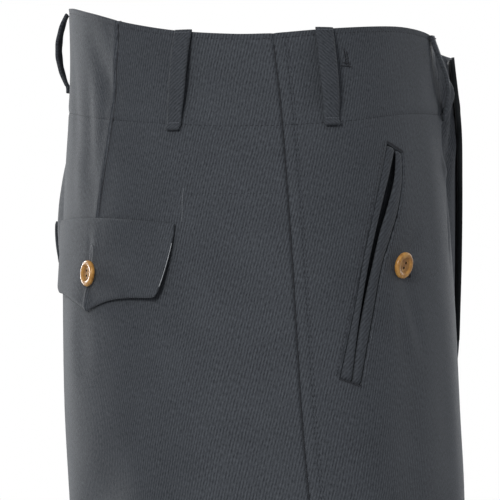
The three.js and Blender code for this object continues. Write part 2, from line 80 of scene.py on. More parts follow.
# One row for each level: centre plane to side seam, reach to the front and the back, how far
# forward the side seam lies, how far out the cloth reaches furthest forward and back, centre
# plane to inseam, how far back the inseam lies, and squareness (2 is an ellipse).
LEVEL_COLUMNS = ("z", "side", "front", "back", "seam", "crest", "inner", "inseam", "round")
LEVELS = [
    (62, 151, 102.5, 119.5, 4, 0, 0, 12, 2.12),
    (25, 152, 105, 118.5, 5.7, 0, 0, 12, 2.12),
    (-10, 158, 109, 119.3, 9.5, 0, 0, 12, 2.14),
    (-50, 171, 113, 121.5, 12.5, 0, 0, 12, 2.16),
    (-95, 183, 116.3, 122.6, 15.5, 0, 0, 12, 2.16),
    (-140, 195, 117.5, 121.6, 18, 18, 0, 12, 2.12),
    (-190, 213, 117.9, 118.8, 21, 50, 0, 12, 2.06),
    (-240, 234, 119, 114.4, 25, 78, 0, 12, 1.98),
    (-290, 252, 119, 111, 26, 92, 4.5, 12, 1.9),
    (-340, 263, 116, 109, 24, 100, 13.5, 11, 1.84),
    (-390, 264, 111, 106, 20, 102, 19.5, 10, 1.82),
    (-440, 251, 103, 101, 15, 102, 24, 9, 1.84),
    (-490, 226, 92, 93, 9, 101, 28, 8, 1.88),
    (-540, 195, 80, 82, 4, 99, 31, 6, 1.94),
    (-590, 171, 69, 72, 0, 98, 34, 4, 2),
    (-640, 161, 62, 67, -3, 98, 37, 5, 2),
    (-730, 162, 54, 76, -10, 100, 39, 12, 2),
    (-850, 159, 48, 73, -12, 102, 44, 13, 2),
    (-950, 155, 43, 67, -12, 103, 51, 12, 2),
    (-1025, 154, 41, 66, -12.5, 104, 54, 12.5, 2),
]

# Height of the top edge, from the centre (0) to the side seam (1)
TOP_EDGE = {
    "front": [
        (0, 24.5), (0.09, 25.2), (0.2, 33.8), (0.3, 36.5), (0.42, 37.4), (0.58, 37.2), (0.8, 34.2),
        (1, 30.4),
    ],
    "back": [(0, 55.8), (0.2, 52.6), (0.4, 46.2), (0.58, 38.4), (0.75, 32.6), (0.9, 30.2), (1, 30.4)],
}

# How far both fronts rise forward beside the fly, and how far the left one stands off the right
FLY_RISE = [(62, 8), (15, 8.5), (-20, 8), (-50, 5.5), (-95, 2), (-140, 0), (-200, 0)]
FLY_RISE_ALONG = (7, 33)
FLY_VALLEY = [(62, 0), (30, -0.3), (0, -2.2), (-40, -3.0), (-90, -2.2), (-150, -0.8), (-200, 0)]
FLY_HILL = [(62, 1.6), (20, 1.2), (-20, 0.4), (-60, 0), (-110, 0)]
FLY_LIFT = [(62, 4.4), (-80, 4.4), (-150, 3.7), (-180, 2.8), (-205, 2.2), (-240, 0), (-275, 0)]
FLY_LIFT_ALONG = (8, 50)
FLY_VALLEY_ALONG = (31, 9)
FLY_HILL_ALONG = (52, 13)
FLY_LAP = 8
FLY_LAP_Z = (-177, -199)
FACING_FOOT_Z = -148


def smooth(start, end, value):
    t = np.clip((value - start) / (end - start), 0, 1)
    return t * t * (3 - 2 * t)


def through(points, at):
    """A smooth curve through (place, value) pairs, read at an array of places."""
    x = np.array([p[0] for p in points], float)
    y = np.array([p[1] for p in points], float)
    if x[0] > x[-1]:
        x, y = x[::-1], y[::-1]
    at = np.clip(np.asarray(at, float), x[0], x[-1])
    i = np.clip(np.searchsorted(x, at, side="right") - 1, 0, len(x) - 2)
    before = np.maximum(i - 1, 0)
    after = np.minimum(i + 2, len(x) - 1)
    span = x[i + 1] - x[i]
    t = (at - x[i]) / span
    slope_a = (y[i + 1] - y[before]) / (x[i + 1] - x[before]) * span
    slope_b = (y[after] - y[i]) / (x[after] - x[i]) * span
    t2, t3 = t * t, t * t * t
    return (
        (2 * t3 - 3 * t2 + 1) * y[i]
        + (t3 - 2 * t2 + t) * slope_a
        + (3 * t2 - 2 * t3) * y[i + 1]
        + (t3 - t2) * slope_b
    )


def level(z, column):
    k = LEVEL_COLUMNS.index(column)
    return through([(row[0], row[k]) for row in LEVELS], z)


# A panel's sections are worked out once for every millimetre of height, as points at even
# shares of the way from the centre seam or inseam to the side seam.
TABLE_Z = np.arange(HEM_Z - 12, 70.0, 1.0)
TABLE_SHARES = np.linspace(0, 1, 161)
QUARTER = np.linspace(0, math.pi / 2, 33)


def centre_reach(panel, z):
    sign = -1 if panel == "front" else 1
    full = level(z, panel)
    point = sign * CROTCH_Y
    t = np.clip((TURN_Z - z) / (TURN_Z - CROTCH_Z), 0, 1)
    return point + (full - point) * (1 - t**SEAT_CURVE) ** (1 / SEAT_CURVE)


def section_table(panel):
    sign = -1 if panel == "front" else 1
    z = TABLE_Z
    reach, side, crest = level(z, panel), level(z, "side"), level(z, "crest")
    below = z <= CROTCH_Z
    inner = np.where(below, level(z, "inner") * smooth(0, 12, CROTCH_Z - z), 0)
    start = np.where(below, sign * level(z, "inseam"), centre_reach(panel, z))
    seam = -sign * level(z, "seam")
    power = 2 / level(z, "round")
    crested = crest > 0.5
    xs, ys, lengths = [], [], []
    for i in range(len(z)):
        x, y = [], []
        if crested[i]:
            x = crest[i] - (crest[i] - inner[i]) * np.cos(QUARTER[:-1])
            y = sign * (start[i] + (reach[i] - start[i]) * np.sin(QUARTER[:-1]))
        origin = crest[i] if crested[i] else 0
        out = np.sin(QUARTER) ** power[i]
        on = np.clip(np.cos(QUARTER), 0, 1) ** power[i]
        x = np.concatenate([x, origin + (side[i] - origin) * out])
        y = np.concatenate([y, sign * (seam[i] + (reach[i] - seam[i]) * on)])
        run = np.concatenate([[0], np.cumsum(np.hypot(np.diff(x), np.diff(y)))])
        xs.append(np.interp(TABLE_SHARES * run[-1], run, x))
        ys.append(np.interp(TABLE_SHARES * run[-1], run, y))
        lengths.append(run[-1])
    return np.array(xs), np.array(ys), np.array(lengths)


TABLES = {panel: section_table(panel) for panel in ("front", "back")}


def half_girth(panel, z):
    """Length over the cloth from the centre seam or inseam to the side seam."""
    return np.interp(z, TABLE_Z, TABLES[panel][2])


def plain_point(panel, along, z):
    xs, ys, lengths = TABLES[panel]
    along, z = np.broadcast_arrays(np.asarray(along, float), np.asarray(z, float))
    row = np.clip((z - TABLE_Z[0]) / 1.0, 0, len(TABLE_Z) - 1.001)
    r = row.astype(int)
    fr = row - r
    share = np.clip(np.abs(along) / half_girth(panel, z), 0, 1) * (len(TABLE_SHARES) - 1)
    c = np.minimum(share.astype(int), len(TABLE_SHARES) - 2)
    fc = share - c

    def read(table):
        low = table[r, c] * (1 - fc) + table[r, c + 1] * fc
        high = table[r + 1, c] * (1 - fc) + table[r + 1, c + 1] * fc
        return low * (1 - fr) + high * fr

    x = read(xs) * np.where(along < 0, -1, 1)
    return np.stack([x, read(ys), z], axis=-1)


NORMAL_STEP = 5.0


def outward(panel, side, along, z):
    """Unit vectors out of the cloth."""
    step = NORMAL_STEP
    along, z = np.broadcast_arrays(np.asarray(along, float), np.asarray(z, float))
    straight = (z > TURN_Z) | (along < 0)
    low = np.where(straight, along - step, np.maximum(along - step, 0))
    high = np.minimum(along + step, half_girth(panel, z))
    across = plain_point(panel, high, z) - plain_point(panel, low, z)
    up = plain_point(panel, along, z + step) - plain_point(panel, along, z - step)
    normal = np.cross(across, up)
    normal /= np.linalg.norm(normal, axis=-1, keepdims=True)
    if panel == "back":
        normal = -normal
    if side == "right":
        normal = normal * np.array([-1, 1, 1])
    return normal


# Folds, seams and puckers, as soft ridges (+) and troughs (-)

# from_side: from the side seam. tilt: degrees from level, rising towards the centre. Both legs
# have each fold, as mirror images, but for those of a panel with a side.
FOLD_COLUMNS = ("panel", "from_side", "z", "tilt", "length", "width", "depth")
FOLDS = [
    # Large folds, which the solid also has
    ("back left", 219, -82, 88, 124, 26, 7.5),
    ("front", 62, -512, 33, 150, 20, -7),
    ("front", 40, -556, 24, 120, 17, -6),
    ("front", 95, -455, 46, 140, 26, -5),
    ("back", 55, -520, 30, 140, 20, -7),
    ("back", 62, -572, 16, 120, 17, -5.5),
    ("back", 150, -238, -28, 120, 22, -5),
    ("front", 215, -252, -32, 95, 16, -4),
    ("back", 85, -635, 5, 95, 15, -4),
    ("front", 80, -948, -8, 85, 15, -2.5),
    ("back", 70, -905, 9, 85, 16, -2.5),
    # Drag lines where the front button pulls the cloth
    ("front", 86, -92, 38, 46, 5.5, -2.0),
    ("front", 71, -136, 92, 56, 5, -1.3),
    ("front", 85, -130, 112, 66, 6, -1.7),
    ("front", 62, -124, 74, 52, 8, 0.7),
    # Creases between the front loop and the fly
    ("front", 165, 6, 78, 76, 3.0, 3.2),
    ("front", 171, -4, 84, 82, 2.4, -3.0),
    ("front", 176, -2, 88, 84, 2.4, 2.2),
    ("front", 188, -8, 84, 90, 3.0, 2.0),
    ("front", 195, -26, 88, 110, 2.6, -1.8),
    ("front", 202, -16, 92, 100, 2.6, 1.6),
    ("front", 170, -40, -58, 26, 2.6, -3.4),
    ("front", 163, -44, -50, 24, 3, 1.8),
    ("front", 168, -78, 80, 66, 3.4, -1.6),
    # Soft falls of the waist behind the dart
    ("back", 124, 14, 60, 84, 9, -1.6),
    ("back", 133, -24, 90, 90, 6, 0.8),
    ("back", 143, -20, 90, 100, 6, -1.0),
    ("back", 172, -6, 82, 90, 8, -1.0),
    ("back", 160, -50, 84, 60, 9, 0.9),
    ("back", 170, -146, 88, 150, 26, 3.0),
    # Slack below the waistband, on the side
    ("back", 34, -18, 48, 74, 10, -1.4),
    ("back", 26, -40, 40, 66, 9, 0.9),
    ("back", 72, -36, 16, 80, 10, -0.9),
    ("front", 22, -8, 86, 60, 9, -0.7),
    # The long shallow fall of the thigh
    ("back", 22, -172, 86, 150, 15, -2.4),
    ("back", 52, -190, 92, 170, 20, 1.3),
    ("front", 36, -215, 84, 160, 18, 1.4),
    ("front", 74, -196, 80, 130, 12, -1.3),
    ("front", 122, -190, 84, 150, 18, -1.1),
    # Creases that run down from the flap
    ("back", 158, -148, 80, 60, 9, -1.2),
    ("back", 100, -150, 96, 70, 12, -1.0),
    # Creases of the knee and the calf
    ("front", 120, -560, 12, 90, 11, -2.4),
    ("front", 60, -604, 8, 100, 12, 2.0),
    ("back", 100, -600, -6, 110, 10, -3.0),
    ("back", 110, -655, 4, 80, 9, -2.0),
    ("front", 72, -688, -14, 76, 10, -1.5),
    ("back", 46, -742, 22, 80, 12, -1.6),
    ("front", 50, -836, -20, 80, 12, -1.3),
    ("back", 90, -968, -14, 74, 10, -1.6),
]
FOLD_EDGE = 16

# The dart of each back, as places from the side seam down to the flap
DART = [(30, 103.2), (-20, 115.3), (-74, 134.8)]
DART_FOOT_Z = -76

# Where the waistband's foot is stitched: heights from the centre (0) to the side seam (1)
BAND_FOOT = {
    "front": [(0, -10.5), (0.5, -13), (0.65, -15.2), (0.8, -19), (1, -22.3)],
    "back": [(0, -8), (0.22, -11), (0.43, -15.5), (0.66, -19.8), (0.8, -21.8), (1, -22.3)],
}

TOPSTITCH_FROM_SIDE = (6.5, 8.1)
EDGE_STITCH_DROP = 3.0

# Narrow ridges and valleys along each line of sewing: height, distance from the line, width
SEAM_VALLEY = (-1.0, 0, 1.1)
FOOT_VALLEY = {"front": (-0.28, 0, 1.1), "back": (-0.42, 0, 1.1)}
FOOT_RIDGE = (0.2, 5, 3.5)
EDGE_VALLEY = (-0.3, EDGE_STITCH_DROP, 1.0)
TOPSTITCH_VALLEY = (-0.25, 7.3, 1.1)
DART_VALLEY = (-1.4, 0, 0.5)
BAG_VALLEY = (-0.3, 0, 1.5)

# Layers of cloth that lie under the face beside a seam: height, where they rise and where they end
ALLOWANCE = (0.35, (0.6, 2.2), (5.8, 7.6))
DART_ALLOWANCE = (0.6, (0.1, 0.8), (2, 9))
DART_FADE = 3
FLY_SEAM_FADE = 20
BAG_FADE = 5

# Where the hip pocket's bag is sewn behind the back: z, and from where to where from the side
BAG_LINES = [(-61, 4, 78), (-79, 12, 62)]


def band_foot(panel, share):
    return through(BAND_FOOT[panel], share)


def bump(value, centre, width):
    return np.exp(-(((value - centre) / width) ** 2))


def ridge(value, height, centre, width):
    return height * bump(value, centre, width)


def layer(distance, height, rise, end):
    return height * smooth(*rise, distance) * (1 - smooth(*end, distance))


def relief(panel, side, along, z):
    """How far the cloth lies out of its plain form."""
    along = np.maximum(along, 0)
    girth = half_girth(panel, z)
    from_seam = girth - along
    total = np.zeros(np.broadcast(along, z).shape)
    for row in FOLDS:
        fold = dict(zip(FOLD_COLUMNS, row))
        if fold["panel"] not in (panel, f"{panel} {side}"):
            continue
        tilt = math.radians(fold["tilt"])
        across, up = from_seam - fold["from_side"], z - fold["z"]
        run = (across * math.cos(tilt) + up * math.sin(tilt)) / (fold["length"] / 2)
        off = (up * math.cos(tilt) - across * math.sin(tilt)) / fold["width"]
        total += fold["depth"] * np.clip(1 - run * run, 0, None) ** 2 * np.exp(-off * off)
    total *= smooth(1, FOLD_EDGE, along) * smooth(1, FOLD_EDGE, from_seam)
    if panel == "front":
        total += through(FLY_RISE, z) * (1 - smooth(*FLY_RISE_ALONG, along))
        total += through(FLY_VALLEY, z) * bump(along, *FLY_VALLEY_ALONG)
        total += through(FLY_HILL, z) * bump(along, *FLY_HILL_ALONG)
    return total


def seam_relief(panel, side, along, z):
    """Narrow valleys along the seams, the dart and the rows of stitching."""
    girth = half_girth(panel, z)
    from_seam = girth - along
    valley = ridge(from_seam, *SEAM_VALLEY)
    under_fly = smooth(FLY_LAP_Z[0] + FLY_SEAM_FADE, FLY_LAP_Z[1], z) if panel == "front" else 1
    valley = valley + ridge(np.maximum(along, 0), *SEAM_VALLEY) * under_fly
    share = np.clip(along / girth, 0, 1)
    foot = z - band_foot(panel, share)
    valley = valley + ridge(foot, *FOOT_VALLEY[panel]) + ridge(foot, *FOOT_RIDGE)
    valley = valley + ridge(top_z(panel, share) - z, *EDGE_VALLEY)
    if panel == "front":
        # The seam allowance is turned forwards and sewn down.
        valley = valley + layer(from_seam, *ALLOWANCE) + ridge(from_seam, *TOPSTITCH_VALLEY)
    else:
        dart = from_seam - through(DART, z)
        down_to = smooth(DART_FOOT_Z - DART_FADE, DART_FOOT_Z, z)
        valley = valley + (ridge(dart, *DART_VALLEY) + layer(dart, *DART_ALLOWANCE)) * down_to
        for height, start, end in BAG_LINES:
            reach = layer(from_seam, 1, (start, start + BAG_FADE), (end - BAG_FADE, end))
            valley = valley + ridge(z - height, *BAG_VALLEY) * reach
    return valley


def lap_lift(panel, side, along, z):
    if panel != "front" or side != "left":
        return 0.0
    return through(FLY_LIFT, z) * (1 - smooth(*FLY_LIFT_ALONG, along))


def on_cloth(panel, side, along, z, out=0.0, seams=True):
    """Points on a panel's outer face in millimetres, moved out by "out"."""
    point = plain_point(panel, along, z)
    if side == "right":
        point = point * np.array([-1, 1, 1])
    move = out + relief(panel, side, along, z) + lap_lift(panel, side, along, z)
    if seams:
        move = move + seam_relief(panel, side, along, z)
    return point + outward(panel, side, along, z) * np.asarray(move)[..., None]


def from_side(panel, distance, z):
    """Turns a distance from the side seam into "along"."""
    return half_girth(panel, z) - distance


def top_z(panel, share):
    return through(TOP_EDGE[panel], np.clip(share, 0, 1))


# Materials


def linear(hex_colour):
    """An sRGB hex colour as linear RGBA."""
    values = [int(hex_colour[i : i + 2], 16) / 255 for i in (1, 3, 5)]
    return [v / 12.92 if v <= 0.04045 else ((v + 0.055) / 1.055) ** 2.4 for v in values] + [1]


def set_inputs(node, sockets):
    """Gives a node's inputs their values, or links them to the outputs of other nodes."""
    for socket, value in sockets.items():
        if isinstance(value, bpy.types.NodeSocket):
            node.id_data.links.new(value, node.inputs[socket])
        else:
            node.inputs[socket].default_value = value


def add_node(tree, kind, sockets=None, output=0, **settings):
    """Adds a shader node with its settings and inputs, and returns one of its outputs."""
    node = tree.nodes.new("ShaderNode" + kind)
    for name, value in settings.items():
        setattr(node, name, value)
    set_inputs(node, sockets or {})
    return node.outputs[output]


def maths(tree, operation, *values, clamp=False):
    return add_node(tree, "Math", dict(enumerate(values)), operation=operation, use_clamp=clamp)


def centred(tree, value, share):
    """Turns a value of 0 to 1 into one as wide as share, with its middle at 0."""
    return maths(tree, "MULTIPLY_ADD", value, share, -share / 2)


def noise(tree, place, scale, detail, roughness=0.5, dimensions="3D"):
    sockets = {"Vector": place, "Scale": scale, "Detail": detail, "Roughness": roughness}
    return add_node(tree, "TexNoise", sockets, noise_dimensions=dimensions)


def mixed(tree, share, first, second):
    """A colour between two others."""
    return add_node(tree, "Mix", {"Factor": share, 6: first, 7: second}, 2, data_type="RGBA")


def ranged(tree, value, start, end, first, last):
    """Goes from first to last while the value goes from start to end."""
    sockets = {"Value": value, "From Min": start, "From Max": end, "To Min": first, "To Max": last}
    return add_node(tree, "MapRange", sockets)


def new_material(name):
    """A new material, its node tree and its surface shader."""
    material = bpy.data.materials.new(name)
    material.use_nodes = True
    return material, material.node_tree, material.node_tree.nodes["Principled BSDF"]


# Whipcord: the angle in degrees and the spacing of its steep ribs, how far they wander, and the
# size of the finer yarn breaks that cross them. Each share is that of the tone, dark to light.
WALE_ANGLE = 72
WALE_SPACING = 1.68
WALE_WANDER = 0.9
WALE_SHARE = 0.19
GRAIN_WIDTH = 0.85
GRAIN_LENGTH = 2.2
GRAIN_SHARE = 1.35
MOTTLE_SHARE = 0.22


def wool_whipcord(name, light, dark, wale_angle=WALE_ANGLE, contrast=1.0):
    """Woven wool whipcord: matt, with a soft nap that brightens at grazing angles, and steep
    diagonal ribs, as far apart as in the photo."""
    material, tree, shader = new_material(name)
    uv = add_node(tree, "UVMap", uv_map="cloth")
    turned = add_node(tree, "Mapping", {"Vector": uv, "Rotation": (0, 0, math.radians(90 - wale_angle))})
    across = add_node(tree, "SeparateXYZ", {"Vector": turned}, "X")
    run = across.node.outputs["Y"]
    # Uneven yarn makes the ribs wander a little.
    uneven = noise(tree, turned, 6.0, 2.0, dimensions="2D")
    shifted = maths(tree, "ADD", across, maths(tree, "MULTIPLY", uneven, WALE_WANDER / UV_UNIT))
    wale = maths(tree, "SINE", maths(tree, "MULTIPLY", shifted, 2 * math.pi * UV_UNIT / WALE_SPACING))
    # Yarn breaks are long up the rib and short across it.
    grain_place = add_node(tree, "CombineXYZ", {
        "X": maths(tree, "MULTIPLY", across, UV_UNIT / GRAIN_WIDTH),
        "Y": maths(tree, "MULTIPLY", run, UV_UNIT / GRAIN_LENGTH),
    })
    grain = centred(tree, noise(tree, grain_place, 1.0, 3.0, 0.7, "2D"), GRAIN_SHARE)
    rib = maths(tree, "MULTIPLY_ADD", wale, WALE_SHARE * contrast, 0.5)
    rib = maths(tree, "ADD", rib, grain, clamp=True)
    mottle = centred(tree, noise(tree, uv, 3.2, 4.0, dimensions="2D"), MOTTLE_SHARE)
    tone = maths(tree, "ADD", rib, mottle, clamp=True)
    set_inputs(shader, {
        "Base Color": mixed(tree, tone, linear(dark), linear(light)),
        "Normal": add_node(tree, "Bump", {"Height": rib, "Strength": 0.5, "Distance": 0.0003}),
        "Roughness": 0.88, "Specular IOR Level": 0.22,
        "Sheen Weight": 0.17, "Sheen Roughness": 0.4, "Sheen Tint": linear("#e6ebee"),
    })
    return material


whipcord = wool_whipcord("wool_whipcord", "#5b5f64", "#2b2d31")
whipcord_cross = wool_whipcord("wool_whipcord_on_the_cross", "#54585d", "#2d2f33", 44, 0.95)


def thread(name, colour):
    """Spun sewing thread: nearly matt, with a slight gloss painted as lighter flecks in its colour where the
    twist turns over.
    """
    material, tree, shader = new_material(name)
    twist = noise(tree, add_node(tree, "TexCoord", output="Object"), 1500.0, 1.0)
    painted_gloss_tone = [c * 1.5 for c in linear(colour)[:3]] + [1]
    set_inputs(shader, {
        "Base Color": mixed(tree, twist, linear(colour), painted_gloss_tone),
        "Roughness": 0.55, "Specular IOR Level": 0.35,
    })
    return material


seam_thread = thread("spun_sewing_thread", "#26272b")
tack_thread = thread("bar_tack_thread", "#5c5f64")
pale_thread = thread("buttonhole_twist", "#7d8084")
# A pale thread, used only as the painted highlight along the flap's free edge.
edge_highlight_thread = thread("pale_edge_highlight_thread", "#a9acae")
button_thread = thread("waxed_button_thread", "#3a2c20")


def lining_cloth():
    """Smooth twilled cotton lining: a dark lining made near black as painted shade on the fly's turned edge,
    with a low gloss.
    """
    material, tree, shader = new_material("cotton_lining_painted_shade")
    weave = noise(tree, add_node(tree, "UVMap", uv_map="cloth"), 160.0, 1.0)
    set_inputs(shader, {
        "Base Color": mixed(tree, weave, linear("#101315"), linear("#23282a")),
        "Roughness": 0.7, "Specular IOR Level": 0.3, "Sheen Weight": 0.15,
    })
    return material


dark_lining_painted_shade = lining_cloth()

# Shares of a button's radius over which its polished rim gives way to the browner dish
DISH_EDGE = (0.54, 0.64)


def polished_nut():
    """Turned vegetable ivory: golden tan and polished, cloudy in its grain, with a browner dish
    where the polish doesn't reach."""
    material, tree, shader = new_material("polished_vegetable_ivory")
    cloudy = noise(tree, add_node(tree, "TexCoord", output="Object"), 240.0, 5.0, 0.62)
    grain = add_node(tree, "ValToRGB", {"Fac": cloudy})
    for stop, place, colour in zip(grain.node.color_ramp.elements, (0.3, 0.62), ("#96602a", "#dba353")):
        stop.position = place
        stop.color = linear(colour)
    # The UV map's first axis is the share of the way out from the middle. The walls of the drilled holes have
    # no radius, and are painted near black as the shade deep inside the holes.
    out = add_node(tree, "SeparateXYZ", {"Vector": add_node(tree, "UVMap", uv_map="cloth")}, "X")
    worn = mixed(tree, ranged(tree, out, *DISH_EDGE, 0.34, 0.0), grain, linear("#5a3316"))
    set_inputs(shader, {
        "Base Color": mixed(tree, ranged(tree, out, 0.0, 0.03, 1.0, 0.0), worn, linear("#170e08")),
        "Roughness": ranged(tree, out, *DISH_EDGE, 0.6, 0.36),
        "IOR": 1.5, "Coat Weight": 0.12, "Coat Roughness": 0.15,
    })
    return material


nut = polished_nut()


# Making pieces


def finish_piece(bm, name, material, replaced=()):
    """Turns a bmesh in millimetres into an object at the origin, in metres."""
    bmesh.ops.scale(bm, vec=(MM, MM, MM), verts=bm.verts)
    mesh = bpy.data.meshes.new(name)
    bm.to_mesh(mesh)
    bm.free()
    mesh.materials.append(material)
    for face in mesh.polygons:
        face.use_smooth = True
    piece = bpy.data.objects.new(name, mesh)
    bpy.context.scene.collection.objects.link(piece)
    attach(piece, "root")
    if replaced:
        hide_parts(*replaced)
    return piece


def cloth_wall(piece, thickness):
    """Gives a sheet its thickness, inwards from its outer face."""
    wall = piece.modifiers.new("cloth_thickness", "SOLIDIFY")
    wall.thickness = thickness * MM
    wall.offset = -1
    wall.use_even_offset = False


def sheet_grid(columns, rows):
    """A flat grid with a UV layer. Vertices are placed later by their share of the way across
    (0 to 1) and down (0 to 1)."""
    bm = bmesh.new()
    bmesh.ops.create_grid(bm, x_segments=columns, y_segments=rows, size=0.5)
    bm.loops.layers.uv.new("cloth")
    return bm


def shares_of(bm):
    """Each vertex's share across and down the grid."""
    across = np.array([v.co.x + 0.5 for v in bm.verts])
    down = np.array([0.5 - v.co.y for v in bm.verts])
    return across, down


def set_places(bm, places, flat):
    """Moves the grid's vertices to their places, with flat cloth positions as the UV map."""
    layer = bm.loops.layers.uv["cloth"]
    bm.verts.index_update()
    for face in bm.faces:
        for loop in face.loops:
            loop[layer].uv = flat[loop.vert.index] / UV_UNIT
    for vert, place in zip(bm.verts, places):
        vert.co = place


def spread(start, step, length, end=None):
    """Grid lines in shares of a length: the given places at both ends, even ones between."""
    start = np.array(start, float)
    end = length - (start if end is None else np.array(end, float))[::-1]
    count = max(2, int((end[0] - start[-1]) / step) + 1)
    return np.concatenate([start, np.linspace(start[-1], end[0], count)[1:-1], end]) / length


# Grid lines across a panel, closer at its seams, its stitching and the back's dart
SEAM_LINES = [0, 0.5, 1.0, 1.7, 2.6, 4]
LINE_STEP = 3.7
STITCH_LINES = SEAM_LINES + [5.4, 6.5, 7.3, 8.1, 9.4, 11.5]
PANEL_WIDTH = 232
DART_SHARE = 0.38
DART_LINES = np.array([-12, -8, -5, -3, -1.9, -1.1, -0.5, 0, 0.5, 1.1, 1.9, 3, 5, 8, 12])
DART_CLEAR = 14
plain = spread(SEAM_LINES, LINE_STEP, PANEL_WIDTH, STITCH_LINES)
beside = plain[np.abs(plain - DART_SHARE) * PANEL_WIDTH > DART_CLEAR]
ACROSS = {"front": plain, "back": np.sort(np.concatenate([beside, DART_SHARE + DART_LINES / PANEL_WIDTH]))}

# Grid lines down a panel: waist edge to the waistband's foot, to the crotch, to the hem
BAND_LENGTH, SEAT_LENGTH = 52, 257
ROW_STEP, LEG_STEP = 2.4, 6.3
BAND_ROWS = spread([0, 0.5, 1.1, 2, 3, 4, 5.4], ROW_STEP, BAND_LENGTH, [0, 0.5, 1.1, 2, 3.4])
SEAT_ROWS = spread([0, 0.5, 1.1, 2, 3.4, 5.4], ROW_STEP, SEAT_LENGTH, [0, ROW_STEP])
LEG_ROWS = spread([0, 2.4, 6], LEG_STEP, CROTCH_Z - HEM_Z, [0, 1, 2.4, 5])
ROW_PARTS = [(0, t) for t in BAND_ROWS[:-1]] + [(1, t) for t in SEAT_ROWS[:-1]] + [(2, t) for t in LEG_ROWS]


def centre_seam_heights(panel):
    """Heights down the seat seam from the waistband's foot, by share of its length."""
    turn = np.linspace(0, math.pi / 2, 800)
    foot = BAND_FOOT[panel][0][1]
    z = foot + (CROTCH_Z - foot) * np.sin(turn)
    run = np.concatenate([[0], np.cumsum(np.hypot(np.diff(z), np.diff(centre_reach(panel, z))))])
    return run / run[-1], z


SEAT_SEAM = {panel: centre_seam_heights(panel) for panel in ("front", "back")}


def row_height(panel, row, share):
    """Heights of grid rows (whole numbers) at shares of the way to the side seam."""
    part = np.array([p for p, _ in ROW_PARTS])[row]
    t = np.array([t for _, t in ROW_PARTS])[row]
    top, foot = top_z(panel, share), band_foot(panel, share)
    foot_centre, foot_side = BAND_FOOT[panel][0][1], BAND_FOOT[panel][-1][1]
    at_side = foot_side + (CROTCH_Z - foot_side) * t
    at_centre = np.interp(t, *SEAT_SEAM[panel])
    plain_foot = foot_centre + (foot_side - foot_centre) * smooth(0, 1, share)
    seat = at_centre + (at_side - at_centre) * smooth(0, 1, share) + (foot - plain_foot) * (1 - t)
    leg = CROTCH_Z + (HEM_Z - CROTCH_Z) * t
    return np.select([part == 0, part == 1], [top + (foot - top) * t, seat], leg)


def follow_dart(panel, share, z):
    """Moves the back's grid lines so that one of them runs down the dart."""
    if panel != "back":
        return share
    dart = 1 - through(DART, z) / half_girth(panel, z)
    before = share * dart / DART_SHARE
    after = 1 - (1 - share) * (1 - dart) / (1 - DART_SHARE)
    return np.where(share < DART_SHARE, before, after)


def centre_start(panel, side, z):
    if panel == "front" and side == "left":
        return SEAM_GAP / 2 - (FLY_LAP + SEAM_GAP / 2) * smooth(FLY_LAP_Z[1], FLY_LAP_Z[0], z)
    return np.full(np.shape(z), SEAM_GAP / 2)


# The fronts lie beside the backs in the UV map.
UV_SHIFT = {"front": 400, "back": 0}


def flat_place(panel, side, distance, z):
    """Flat cloth position whose first axis runs to the right as seen from outside."""
    rightwards = 1 if (panel == "back") == (side == "right") else -1
    return np.stack([-rightwards * distance + UV_SHIFT[panel], z], axis=-1)


# The slanted pocket, as places from the side seam and heights. Its window is cut in the front,
# and two welts fill it but for the slit. Widths are measured forwards from the line between.
POCKET_TOP = Vector((75.8, -34.5, 0))
POCKET_FOOT = Vector((28.6, -165.5, 0))
WINDOW_REAR = [(0, -8.4), (0.25, -9.4), (0.5, -9.8), (0.72, -7.9), (1, -6.2)]
WINDOW_FORE = [
    (0, 6.8), (0.06, 9.6), (0.13, 11.4), (0.25, 11.2), (0.37, 8.2), (0.5, 5.2), (0.72, 6.0), (1, 7.4),
]
LIP_REAR = [
    (0, -0.2), (0.13, -1.8), (0.25, -3.7), (0.37, -4.7), (0.5, -4.9), (0.72, -3.0), (0.96, 1.0), (1, 1.4),
]
LIP_FORE = [
    (0, 0.6), (0.05, 2.9), (0.13, 3.8), (0.25, 1.7), (0.37, -1.0), (0.5, -1.7), (0.6, -2.0), (0.8, -1.0),
    (1, 1.8),
]
POCKET_RUN = (POCKET_TOP - POCKET_FOOT).normalized()
FORWARDS = Vector((POCKET_RUN.y, -POCKET_RUN.x, 0))
WINDOW_PULL = 16
WINDOW_NEAR = 95
WINDOW_FADE = 0.1


def pocket_place(t, forwards):
    """Distance from the side seam and height at a share of the pocket's length."""
    distance = POCKET_TOP.x + (POCKET_FOOT.x - POCKET_TOP.x) * t + FORWARDS.x * forwards
    z = POCKET_TOP.y + (POCKET_FOOT.y - POCKET_TOP.y) * t + FORWARDS.y * forwards
    return distance, z


